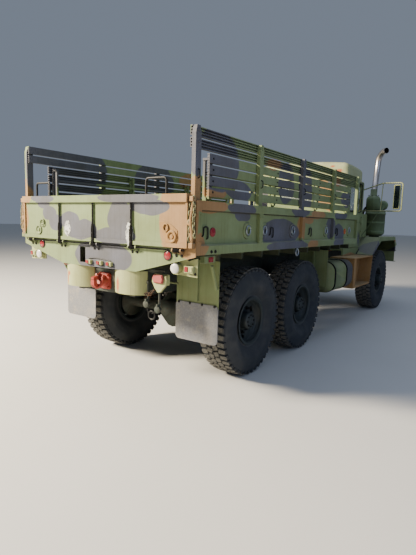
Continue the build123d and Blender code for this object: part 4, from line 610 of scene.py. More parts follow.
@dataclass(frozen=True)
class WindowGlass:
    """Laminated safety glass with a film of dust.

    Attributes:
        name: The material's name.
    """

    name: str

    def build(self) -> bpy.types.Material:
        """Builds the material: a clear smooth dielectric with dusty patches.

        Returns:
            The material.
        """
        material, tree, shader, where = new_material(self.name)
        dust = step(tree, noise(tree, where, 160.0, 5.0), 0.4, 0.9)
        tree.links.new(mixed(tree, dust, linear("#dfe8e2"), linear("#b9b5a4")), shader.inputs["Base Color"])
        rough = add(tree, "ShaderNodeMapRange", {"Value": dust, "To Min": 0.02, "To Max": 0.07})
        tree.links.new(rough.outputs[0], shader.inputs["Roughness"])
        shader.inputs["IOR"].default_value = 1.52
        shader.inputs["Transmission Weight"].default_value = 0.85
        return material


@dataclass(frozen=True)
class CoatedCloth:
    """Vinyl-coated cotton duck on the seats: a plain weave that shows through a matt coat.

    Attributes:
        name: The material's name.
        colour: The coat's colour.
        thread_mm: The width of one thread, drawn coarser than the real 1 mm so that it shows.
    """

    name: str
    colour: str = "#4b5038"
    thread_mm: float = 3.0

    def build(self) -> bpy.types.Material:
        """Builds the material: two crossed waves for the weave, with worn and dusty areas.

        Returns:
            The material.
        """
        material, tree, shader, where = new_material(self.name)
        # A wave turns 20 radians in a metre at scale 1, so half a wave is about one thread here
        scale = 1.0 / (self.thread_mm * MM) / 6.28
        waves = [
            add(tree, "ShaderNodeTexWave", {"Vector": where, "Scale": scale, "Distortion": 0.4},
                bands_direction=direction).outputs["Fac"] for direction in ("X", "DIAGONAL")
        ]
        weave = add(tree, "ShaderNodeMath", {0: waves[0], 1: waves[1]}, operation="MULTIPLY").outputs[0]
        worn = step(tree, noise(tree, where, 90.0, 4.0), 0.5, 0.8)
        colour = mixed(tree, worn, linear(self.colour), linear("#6d6f55"))
        tree.links.new(mixed(tree, weave, mixed(tree, 1.0, colour, linear("#9a9a9a"), "MULTIPLY"), colour),
                       shader.inputs["Base Color"])
        shader.inputs["Roughness"].default_value = 0.72
        shader.inputs["Sheen Weight"].default_value = 0.2
        raise_bumps(tree, shader, weave, 0.5, 0.6)
        return material


def turned_to(direction: Point) -> Matrix:
    """The turn that takes +Z to a direction."""
    return Vector(UP).rotation_difference(Vector(direction)).to_matrix()


def turns(count: int) -> list[float]:
    """Evenly spaced angles of one full turn, in radians."""
    return [2 * math.pi * i / count for i in range(count)]


def oval(centre: Point, first: Point, second: Point, count: int) -> list[Point]:
    """Lays points evenly round an oval.

    Args:
        centre: Its middle.
        first: From the middle to the first point.
        second: From the middle to the point a quarter of the way round.
        count: How many points.

    Returns:
        The points, in order.
    """
    return [tuple(c + u * math.cos(a) + v * math.sin(a) for c, u, v in zip(centre, first, second))
            for a in turns(count)]


def mesh_data(mesh: bmesh.types.BMesh, name: str) -> bpy.types.Mesh:
    """Turns a mesh under construction to named mesh data, and frees it.

    Args:
        mesh: The mesh under construction.
        name: The data's name.

    Returns:
        The mesh data.
    """
    data = bpy.data.meshes.new(name)
    mesh.to_mesh(data)
    mesh.free()
    return data


def merged_copy(name: str) -> bmesh.types.BMesh:
    """Copies a CAD node's mesh, with the corners that lie on one another made one.

    Args:
        name: The node's name.

    Returns:
        The copy, which the caller frees.
    """
    merged = bmesh.new()
    merged.from_mesh(frame["nodes"][name].data)
    bmesh.ops.remove_doubles(merged, verts=merged.verts, dist=WELD)
    return merged


def in_scene(name: str, data: bpy.types.ID) -> bpy.types.Object:
    """Makes an object of its data and puts it in the scene.

    Args:
        name: The object's name.
        data: Its mesh, curve, light or camera.

    Returns:
        The new object.
    """
    item = bpy.data.objects.new(name, data)
    bpy.context.scene.collection.objects.link(item)
    return item


def evaluated(holder: bpy.types.Object) -> bpy.types.Mesh:
    """Makes the plain mesh that an object's modifiers give, and clears them.

    Args:
        holder: The object with the modifiers.

    Returns:
        The new mesh.
    """
    graph = bpy.context.evaluated_depsgraph_get()
    result = bpy.data.meshes.new_from_object(holder.evaluated_get(graph), depsgraph=graph)
    holder.modifiers.clear()
    return result


def wheels() -> Iterator[tuple[str, Side, Vector]]:
    """Gives each wheel's station, its side and the centre of its tyre.

    Yields:
        The station, the side and the centre of one wheel after another.
    """
    for station in STATIONS:
        for side in Side:
            low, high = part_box(f"tyre_{station}_{side.word}")
            yield station, side, (low + high) / 2


class Shape:
    """Gathers the forms of one piece in one mesh, in metres, in the truck's frame."""

    def __init__(self) -> None:
        """Starts with nothing."""
        self.mesh = bmesh.new()

    def _faces(self, rings: Sequence[Sequence[Point]], closed: bool) -> None:
        """Joins rings of equal length with quads, and caps the first and last unless closed.

        Args:
            rings: Rows of corners, from one end to the other.
            closed: Whether the last row joins the first.
        """
        rows = [[self.mesh.verts.new(p) for p in ring] for ring in rings]
        count = len(rows[0])
        pairs = list(zip(rows, rows[1:])) + ([(rows[-1], rows[0])] if closed else [])
        for a, b in pairs:
            for i in range(count):
                j = (i + 1) % count
                self.mesh.faces.new((a[i], a[j], b[j], b[i]))
        if not closed:
            self.mesh.faces.new(rows[0][::-1])
            self.mesh.faces.new(rows[-1])

    def _ease(self, edges: Iterable[bmesh.types.BMEdge], bevel: float) -> None:
        """Eases edges by bevel metres.

        Args:
            edges: The edges.
            bevel: The width of the easing, or 0.
        """
        if bevel > 0:
            bmesh.ops.bevel(self.mesh, geom=list(set(edges)), offset=bevel, segments=1, affect="EDGES",
                            clamp_overlap=True)

    def box(self, low: Point, high: Point, bevel: float = 0.002) -> None:
        """Adds a box between two corners, with its edges eased by bevel metres.

        Args:
            low: One corner.
            high: The opposite corner.
            bevel: The width of the easing.
        """
        lo = [min(a, b) for a, b in zip(low, high)]
        hi = [max(a, b) for a, b in zip(low, high)]
        made = bmesh.ops.create_cube(self.mesh, size=1.0)["verts"]
        for v in made:
            v.co = Vector([lo[i] if v.co[i] < 0 else hi[i] for i in range(3)])
        self._ease((e for v in made for e in v.link_edges), bevel)

    def prism(self, outline: Sequence[Flat], axis: Axis, start: float, end: float,
              bevel: float = 0.0) -> None:
        """Draws a flat outline out along an axis.

        Args:
            outline: Points in the two other axes, in their order.
            axis: The direction that it is drawn along.
            start: Where it begins on the axis.
            end: Where it ends.
            bevel: The easing of the edges of both ends.
        """
        k = axis.value
        rows = [[self.mesh.verts.new((*spot[:k], c, *spot[k:])) for spot in outline] for c in (start, end)]
        faces = [self.mesh.faces.new(rows[0][::-1]), self.mesh.faces.new(rows[1])]
        for i in range(len(outline)):
            j = (i + 1) % len(outline)
            self.mesh.faces.new((rows[0][i], rows[0][j], rows[1][j], rows[1][i]))
        self._ease((e for f in faces for e in f.edges), bevel)

    def lathe(self, profile: Sequence[Flat], centre: Point, direction: Point, sides: int = 32) -> None:
        """Turns a profile about an axis.

        Args:
            profile: Points of (distance along the axis, radius), from one end to the other.
            centre: Where distance 0 lies.
            direction: The axis.
            sides: How many flats the turned form has.
        """
        turn = turned_to(direction)
        rings = [
            [Vector(centre) + turn @ Vector((max(r, POINTED) * math.cos(a), max(r, POINTED) * math.sin(a), h))
             for a in turns(sides)] for h, r in profile
        ]
        self._faces(rings, False)

    def stud(self, shoulder: Flat, top: Flat, centre: Point, direction: Point, sides: int = 28) -> None:
        """Adds a round stud with an eased top, from the (height, radius) of its shoulder and its top."""
        self.lathe([(0.0, shoulder[1]), shoulder, top, (top[0], 0.0)], centre, direction, sides)

    def hoop(self, profile: Sequence[Flat], centre: Point, direction: Point, sides: int = 32) -> None:
        """Turns a closed profile about an axis that it doesn't touch, as lathe does.

        Args:
            profile: Points of (distance along the axis, radius), round the section.
            centre: Where distance 0 lies.
            direction: The axis.
            sides: How many flats the turned form has.
        """
        turn = turned_to(direction)
        rings = [
            [Vector(centre) + turn @ Vector((r * math.cos(a), r * math.sin(a), h)) for h, r in profile]
            for a in turns(sides)
        ]
        self._faces(rings, True)

    def pipe(self, points: Sequence[Point], radius: float, sides: int = 10, closed: bool = False) -> None:
        """Sweeps a round bar through points.

        Args:
            points: The bar's centre line.
            radius: The bar's radius.
            sides: How many flats the bar has.
            closed: Whether the last point joins the first.
        """
        line = [Vector(p) for p in points]
        count = len(line)
        rings = []
        normal = None
        for i, p in enumerate(line):
            after = line[(i + 1) % count] if closed or i + 1 < count else p
            before = line[i - 1] if closed or i > 0 else p
            tangent = (after - before).normalized()
            if normal is None:
                normal = tangent.orthogonal().normalized()
            normal = (normal - tangent * normal.dot(tangent)).normalized()
            other = tangent.cross(normal)
            rings.append([p + normal * (radius * math.cos(a)) + other * (radius * math.sin(a))
                          for a in turns(sides)])
        self._faces(rings, closed)

    def finish(self, name: str, material: bpy.types.Material, body: str = CHASSIS, slot: str = PAINT_SLOT,
               smooth: float = 35.0) -> bpy.types.Object:
        """Makes the piece.

        Args:
            name: The piece's name.
            material: Its finish.
            body: The CAD body that it rides on.
            slot: The record's material slot; not used.
            smooth: Edges flatter than this many degrees are shaded smooth.

        Returns:
            The new object.
        """
        bmesh.ops.remove_doubles(self.mesh, verts=self.mesh.verts, dist=1e-6)
        bmesh.ops.recalc_face_normals(self.mesh, faces=self.mesh.faces)
        return place_mesh(mesh_data(self.mesh, name), name, material, body, smooth)


def place_mesh(data: bpy.types.Mesh, name: str, material: bpy.types.Material, body: str,
               smooth: float = 35.0) -> bpy.types.Object:
    """Puts a finished mesh on its body.

    Args:
        data: The mesh, in the truck's frame.
        name: The piece's name.
        material: Its finish.
        body: The CAD body that it rides on.
        smooth: Edges flatter than this many degrees are shaded smooth.

    Returns:
        The new object.
    """
    data.shade_smooth()
    data.set_sharp_from_angle(angle=math.radians(smooth))
    data.materials.clear()
    data.materials.append(material)
    piece = in_scene(name, data)
    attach(piece, body)
    log.info("%s on %s: %d faces", name, body, len(data.polygons))
    return piece


def rounded(points: Sequence[Point], radius: float, steps: int = 4) -> list[Point]:
    """Rounds the corners of an open line of points.

    Args:
        points: The line's corners.
        radius: How far before and after each corner the bend starts.
        steps: Points in each bend.

    Returns:
        The points of the bent line.
    """
    line = [Vector(p) for p in points]
    out = [line[0]]
    for before, corner, after in zip(line, line[1:], line[2:]):
        start = corner + (before - corner).normalized() * min(radius, (before - corner).length / 2)
        end = corner + (after - corner).normalized() * min(radius, (after - corner).length / 2)
        for i in range(steps + 1):
            t = i / steps
            out.append(start * (1 - t) ** 2 + corner * 2 * t * (1 - t) + end * t * t)
    out.append(line[-1])
    return [tuple(p) for p in out]


def rounded_loop(corners: list[Point], radius: float) -> list[Point]:
    """Rounds every corner of a closed line of points."""
    return rounded(corners[-1:] + corners + corners[:1], radius, 5)[1:-1]


class NodeBuild:
    """Builds geometry node trees and turns their results into plain meshes."""

    @staticmethod
    def tree(name: str, inputs: dict[str, tuple[str, object]]) -> tuple[bpy.types.NodeTree, bpy.types.Node]:
        """Starts a tree.

        Args:
            name: The tree's name.
            inputs: Input name to (socket type, default value).

        Returns:
            The tree and its group input node.
        """
        tree = bpy.data.node_groups.new(name, "GeometryNodeTree")
        tree.interface.new_socket("Geometry", in_out="INPUT", socket_type="NodeSocketGeometry")
        for key, (kind, value) in inputs.items():
            socket = tree.interface.new_socket(key, in_out="INPUT", socket_type=kind)
            if value is not None:
                socket.default_value = value
        tree.interface.new_socket("Geometry", in_out="OUTPUT", socket_type="NodeSocketGeometry")
        return tree, add(tree, "NodeGroupInput")

    @staticmethod
    def end(tree: bpy.types.NodeTree, shape: bpy.types.NodeSocket, material: bpy.types.NodeSocket) -> None:
        """Ends a tree with its instances made real and its material set.

        Args:
            tree: The tree.
            shape: The socket of its geometry.
            material: The socket of its material.
        """
        real = add(tree, "GeometryNodeRealizeInstances", {0: shape})
        dressed = add(tree, "GeometryNodeSetMaterial", {"Geometry": real, "Material": material})
        add(tree, "NodeGroupOutput", {0: dressed})

    @staticmethod
    def run(tree: bpy.types.NodeTree, carrier: bpy.types.ID, values: dict[str, object]) -> bpy.types.Mesh:
        """Runs a tree on a mesh or curve and returns the result as a plain mesh.

        Args:
            tree: The geometry node tree.
            carrier: The mesh or curve that it starts from.
            values: Input name to value.

        Returns:
            The result's mesh.
        """
        holder = in_scene("carrier", carrier)
        modifier = holder.modifiers.new("build", "NODES")
        modifier.node_group = tree
        names = {s.name: s.identifier for s in tree.interface.items_tree if s.in_out == "INPUT"}
        for key, value in values.items():
            modifier[names[key]] = value
        result = evaluated(holder)
        bpy.data.objects.remove(holder)
        return result


@dataclass
class Fastener:
    """Bolts, nuts or rivets of one size, set on points by geometry nodes.

    Attributes:
        across: Width across the flats, or across the dome of a rivet.
        height: How far the head stands out.
        sides: 6 for a hexagon, more for a round head.
        washer: The washer's radius, or 0.
        shank: How far the thread stands beyond the head.
        spots: Each fastener's point and the way that its head faces.
    """

    across: float = 0.019
    height: float = 0.010
    sides: int = 6
    washer: float = 0.0
    shank: float = 0.0
    spots: list[tuple[Point, Point]] = field(default_factory=list)

    def at(self, point: Point, facing: Point) -> None:
        """Sets one fastener at a point, with its head towards facing."""
        self.spots.append((point, facing))

    def ring(self, centre: Point, facing: Point, radius: float, count: int) -> None:
        """Sets fasteners evenly on a circle.

        Args:
            centre: The circle's centre.
            facing: The way that the heads face.
            radius: The circle's radius.
            count: How many fasteners.
        """
        for a in turns(count):
            spoke = turned_to(facing) @ Vector((radius * math.cos(a), radius * math.sin(a), 0))
            self.at(tuple(Vector(centre) + spoke), facing)

    def row(self, start: Point, end: Point, facing: Point, count: int) -> None:
        """Sets fasteners evenly from start to end."""
        for i in range(count):
            self.at(tuple(Vector(start).lerp(Vector(end), i / max(1, count - 1))), facing)

    def _tree(self) -> bpy.types.NodeTree:
        """Builds the tree: a chamfered head, a washer and a thread end on each point, facing its way.

        Returns:
            The tree.
        """
        tree, given = NodeBuild.tree("Fasteners", {
            "Across": ("NodeSocketFloat", self.across), "Height": ("NodeSocketFloat", self.height),
            "Washer": ("NodeSocketFloat", self.washer), "Material": ("NodeSocketMaterial", None),
        })
        # The head's flats lie inside the circle of its corners
        corner = 0.5 / math.cos(math.pi / self.sides)
        radius = add(tree, "ShaderNodeMath", {0: given.outputs["Across"], 1: corner},
                     operation="MULTIPLY").outputs[0]
        # The head is straight for most of its height, and its top is a little narrower
        straight, narrow = 0.72, 0.8
        top = add(tree, "ShaderNodeMath", {0: radius, 1: narrow}, operation="MULTIPLY").outputs[0]
        forms = []
        # Columns: bottom radius, top radius, part of the height where it starts, part where it ends
        for low, high, start, end in ((radius, radius, 0.0, straight), (radius, top, straight, 1.0)):
            tall, lift = (add(tree, "ShaderNodeMath", {0: given.outputs["Height"], 1: part},
                              operation="MULTIPLY").outputs[0] for part in (end - start, start))
            cone = add(tree, "GeometryNodeMeshCone", {"Vertices": self.sides, "Radius Top": high,
                                                      "Radius Bottom": low, "Depth": tall})
            forms.append((cone, add(tree, "ShaderNodeCombineXYZ", {2: lift}).outputs[0]))
        if self.washer > 0:
            disc = add(tree, "GeometryNodeMeshCylinder", {
                "Vertices": 16, "Radius": given.outputs["Washer"], "Depth": 0.003})
            forms.append((disc, (0, 0, 0.0008)))
        if self.shank > 0:
            thread = add(tree, "GeometryNodeMeshCylinder", {
                "Vertices": 8, "Radius": self.across * 0.3, "Depth": self.shank})
            forms.append((thread, (0, 0, self.height + self.shank / 2 - 0.001)))
        head = add(tree, "GeometryNodeJoinGeometry")
        for form, place in forms:
            moved = add(tree, "GeometryNodeTransform", {"Geometry": form, "Translation": place})
            tree.links.new(moved.outputs[0], head.inputs[0])
        facing = add(tree, "GeometryNodeInputNamedAttribute", {"Name": "facing"},
                     data_type="FLOAT_VECTOR").outputs[0]
        turned = add(tree, "FunctionNodeAlignRotationToVector", {"Vector": facing}, axis="Z").outputs[0]
        placed = add(tree, "GeometryNodeInstanceOnPoints", {"Points": given.outputs["Geometry"],
                                                            "Instance": head, "Rotation": turned})
        NodeBuild.end(tree, placed.outputs[0], given.outputs["Material"])
        return tree

    def finish(self, name: str, material: bpy.types.Material, body: str = CHASSIS,
               slot: str = PAINT_SLOT) -> bpy.types.Object:
        """Makes the fasteners one piece.

        Args:
            name: The piece's name.
            material: Its finish.
            body: The CAD body that it rides on.
            slot: The record's material slot; not used.

        Returns:
            The new object.
        """
        points = bpy.data.meshes.new("points")
        points.from_pydata([p for p, _ in self.spots], [], [])
        facing = points.attributes.new("facing", "FLOAT_VECTOR", "POINT")
        facing.data.foreach_set("vector", [c for _, f in self.spots for c in f])
        result = NodeBuild.run(self._tree(), points, {"Across": self.across, "Height": self.height,
                                                      "Washer": self.washer, "Material": material})
        return place_mesh(result, name, material, body, 30.0)


@dataclass
class Chain:
    """A steel chain, its links set along a curve by geometry nodes.

    Attributes:
        pitch: The inside length of a link.
        wire: The wire's radius.
    """

    pitch: float = 0.030
    wire: float = 0.0035

    def _tree(self) -> bpy.types.NodeTree:
        """Builds the tree: oval links along the curve, every other one turned a quarter.

        Returns:
            The tree.
        """
        tree, given = NodeBuild.tree("Chain", {
            "Pitch": ("NodeSocketFloat", self.pitch), "Wire": ("NodeSocketFloat", self.wire),
            "Material": ("NodeSocketMaterial", None),
        })
        # A link is a little longer than the pitch, so that it hooks round the next, and half as wide
        half_long, narrow = 0.62, 0.58
        half = add(tree, "ShaderNodeMath", {0: given.outputs["Pitch"], 1: half_long}, operation="MULTIPLY")
        circle, wire = (add(tree, "GeometryNodeCurvePrimitiveCircle", {"Resolution": count, "Radius": radius})
                        for count, radius in ((10, half.outputs[0]), (6, given.outputs["Wire"])))
        loop = add(tree, "GeometryNodeTransform", {
            "Geometry": circle, "Scale": (1.0, narrow, 1.0)})
        link = add(tree, "GeometryNodeCurveToMesh", {
            "Curve": loop, "Profile Curve": wire})
        points = add(tree, "GeometryNodeCurveToPoints", {"Curve": given.outputs["Geometry"],
                                                         "Length": given.outputs["Pitch"]}, mode="LENGTH")
        along = add(tree, "FunctionNodeAlignRotationToVector", {"Vector": points.outputs["Tangent"]},
                    axis="X")
        index = add(tree, "GeometryNodeInputIndex").outputs[0]
        odd = add(tree, "ShaderNodeMath", {0: index, 1: 2.0}, operation="MODULO").outputs[0]
        angle = add(tree, "ShaderNodeMath", {0: odd, 1: math.pi / 2}, operation="MULTIPLY").outputs[0]
        quarter = add(tree, "FunctionNodeAxisAngleToRotation", {"Axis": (1.0, 0.0, 0.0), "Angle": angle})
        turned = add(tree, "FunctionNodeRotateRotation", {0: along, 1: quarter},
                     rotation_space="LOCAL")
        placed = add(tree, "GeometryNodeInstanceOnPoints", {"Points": points.outputs["Points"],
                                                            "Instance": link,
                                                            "Rotation": turned})
        NodeBuild.end(tree, placed.outputs[0], given.outputs["Material"])
        return tree

    def finish(self, name: str, lines: Iterable[Sequence[Point]], material: bpy.types.Material,
               body: str = CHASSIS, slot: str = PAINT_SLOT) -> bpy.types.Object:
        """Makes chains along lines of points.

        Args:
            name: The piece's name.
            lines: The corners of each chain's line.
            material: Its finish.
            body: The CAD body that it rides on.
            slot: The record's material slot; not used.

        Returns:
            The new object.
        """
        curve = bpy.data.curves.new("chain line", "CURVE")
        curve.dimensions = "3D"
        for line in lines:
            spline = curve.splines.new("NURBS")
            spline.points.add(len(line) - 1)
            for point, place in zip(spline.points, line):
                point.co = (*place, 1.0)
            spline.order_u = 3
            spline.use_endpoint_u = True
        result = NodeBuild.run(self._tree(), curve, {
            "Pitch": self.pitch, "Wire": self.wire, "Material": material})
        return place_mesh(result, name, material, body, 60.0)


@dataclass
class TreadedTyre:
    """A large cross-country tyre: a turned carcass with six rings of tread blocks, three on each side.

    Attributes:
        radius: The radius over the tread.
        half_width: Half the widest width.
        half_tread: Half the tread's width.
        bead_radius: The radius at the rim.
        bead_half: Half the width at the rim.
        groove: The depth of the tread.
        blocks: Blocks in one ring.
        seed: The seed of the blocks' small random turns.
    """

    radius: float = 0.610
    half_width: float = 0.186
    half_tread: float = 0.150
    bead_radius: float = 0.2545
    bead_half: float = 0.113
    groove: float = 0.022
    blocks: int = 46
    seed: int = 7

    def _carcass(self) -> bpy.types.Mesh:
        """The turned carcass about the X axis, at the origin, with rings on its sidewalls.

        Returns:
            The carcass's mesh.
        """
        bead, wall, tread = self.bead_half, self.half_width, self.half_tread
        lip, crown = self.bead_radius, self.radius - self.groove
        # Columns: distance from the middle plane, radius
        outside = [
            (bead - 0.002, lip + 0.001), (bead + 0.001, lip + 0.030), (bead + 0.018, lip + 0.055),
            (bead + 0.040, lip + 0.084), (bead + 0.060, lip + 0.116), (wall - 0.004, lip + 0.150),
            (wall - 0.001, lip + 0.165), (wall - 0.006, lip + 0.185), (wall - 0.004, lip + 0.200),
            (wall - 0.010, lip + 0.222), (wall - 0.018, lip + 0.250), (tread + 0.006, self.radius - 0.068),
            (tread - 0.004, crown - 0.022), (tread - 0.020, crown - 0.008), (tread * 0.5, crown - 0.001),
            (0.0, crown),
        ]
        inside = [(bead - 0.020, lip + 0.030), (0.150, lip + 0.160), (0.120, crown - 0.030),
                  (0.0, crown - 0.026)]
        mirror = [(-x, r) for x, r in reversed(outside[:-1])]
        profile = outside + mirror + [(-x, r) for x, r in inside[:-1]] + inside[::-1]
        shape = Shape()
        shape.hoop(profile, (0, 0, 0), (1, 0, 0), 72)
        bmesh.ops.recalc_face_normals(shape.mesh, faces=shape.mesh.faces)
        return mesh_data(shape.mesh, "carcass")

    def _block(self) -> bpy.types.Mesh:
        """One tread block with eased edges: X across the tyre, Y along its rolling, Z outwards.

        Returns:
            The block's mesh.
        """
        shape = Shape()
        outline = [(-0.5, -0.5), (0.42, -0.5), (0.5, -0.2), (0.5, 0.5), (-0.42, 0.5), (-0.5, 0.2)]
        shape.prism(outline, Axis.Z, -0.9, 0.0)
        top = [f for f in shape.mesh.faces if abs(f.normal.z) > 0.9 and f.calc_center_median().z > -0.1]
        bmesh.ops.recalc_face_normals(shape.mesh, faces=shape.mesh.faces)
        edges = list({e for f in top for e in f.edges})
        bmesh.ops.bevel(shape.mesh, geom=edges, offset=0.05, segments=1, affect="EDGES")
        return mesh_data(shape.mesh, "block")

    def _tree(self) -> bpy.types.NodeTree:
        """Builds the tree: rings of blocks about X, each with its own place, size, lean and lag.

        Returns:
            The tree.
        """
        tree, given = NodeBuild.tree("Tread", {
            "Blocks": ("NodeSocketInt", self.blocks), "Radius": ("NodeSocketFloat", self.radius),
            "Seed": ("NodeSocketInt", self.seed), "Material": ("NodeSocketMaterial", None),
        })
        joined = add(tree, "GeometryNodeJoinGeometry")
        pitch = 2 * math.pi * self.radius / self.blocks
        # Columns: across, drop in radius, width, length, height, skew, lean outwards, lag in pitches
        rings = [
            (0.036, 0.0010, 0.060, 0.70 * pitch, 0.026, 14.0, 0.0, 0.0),
            (0.113, 0.0050, 0.078, 0.62 * pitch, 0.030, -6.0, 5.0, 0.45),
            (0.158, 0.0290, 0.022, 0.58 * pitch, 0.052, 0.0, 20.0, 0.45),
        ]
        for side in BOTH_SIDES:
            for across, drop, width, length, height, skew, lean, lag in rings:
                circle = add(tree, "GeometryNodeMeshCircle", {"Vertices": given.outputs["Blocks"],
                                                              "Radius": given.outputs["Radius"]})
                upright = add(tree, "GeometryNodeTransform", {
                    "Geometry": circle, "Rotation": (0.0, math.pi / 2, 0.0)})
                shift = (lag + (0.5 if side < 0 else 0.0)) * 2 * math.pi / self.blocks
                placed = add(tree, "GeometryNodeTransform", {
                    "Geometry": upright, "Rotation": (shift, 0.0, 0.0),
                    "Translation": (side * across, 0, 0)})
                spot = add(tree, "GeometryNodeInputPosition").outputs[0]
                flat = add(tree, "ShaderNodeVectorMath", {0: spot, 1: (0.0, 1.0, 1.0)}, operation="MULTIPLY")
                out = add(tree, "FunctionNodeAlignRotationToVector", {"Vector": flat}, axis="Z",
                          pivot_axis="X")
                jitter = add(tree, "FunctionNodeRandomValue", {
                    2: -0.03, 3: 0.03, "Seed": given.outputs["Seed"]}, data_type="FLOAT").outputs[1]
                twist = add(tree, "ShaderNodeMath", {0: jitter, 1: math.radians(side * skew)}).outputs[0]
                local = add(tree, "ShaderNodeCombineXYZ", {1: math.radians(side * lean), 2: twist})
                local_turn = add(tree, "FunctionNodeEulerToRotation", {0: local})
                turned = add(tree, "FunctionNodeRotateRotation", {
                    0: out, 1: local_turn}, rotation_space="LOCAL")
                block = add(tree, "GeometryNodeTransform", {
                    "Geometry": given.outputs["Geometry"], "Translation": (0, 0, -drop - 0.0012),
                    "Scale": (width, length, height)})
                ring = add(tree, "GeometryNodeInstanceOnPoints", {
                    "Points": placed, "Instance": block, "Rotation": turned})
                tree.links.new(ring.outputs[0], joined.inputs[0])
        NodeBuild.end(tree, joined.outputs[0], given.outputs["Material"])
        return tree

    def dress(self) -> None:
        """Makes the six tyres, each in place of its CAD tyre."""
        rubber = {}
        tread = None
        carcass = self._carcass()
        for station, side, centre in wheels():
            node = f"tyre_{station}_{side.word}"
            if station not in rubber:
                rubber[station] = TyreRubber(f"Dusty tyre rubber, {station}", (centre.y, centre.z)).build()
            if tread is None:
                tread = NodeBuild.run(self._tree(), self._block(), {
                    "Blocks": self.blocks, "Radius": self.radius, "Seed": self.seed,
                    "Material": rubber[station]})
            both = bmesh.new()
            both.from_mesh(carcass)
            both.from_mesh(tread)
            turn = Matrix.Rotation(0.0 if side is Side.LEFT else math.pi, 4, "Z")
            both.transform(Matrix.Translation(centre) @ turn)
            for face in both.faces:
                face.material_index = 0
            name, body = f"treaded_{node}", f"wheel_{station}_{side.word}"
            piece = place_mesh(mesh_data(both, name), name, rubber[station], body)
            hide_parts(node)


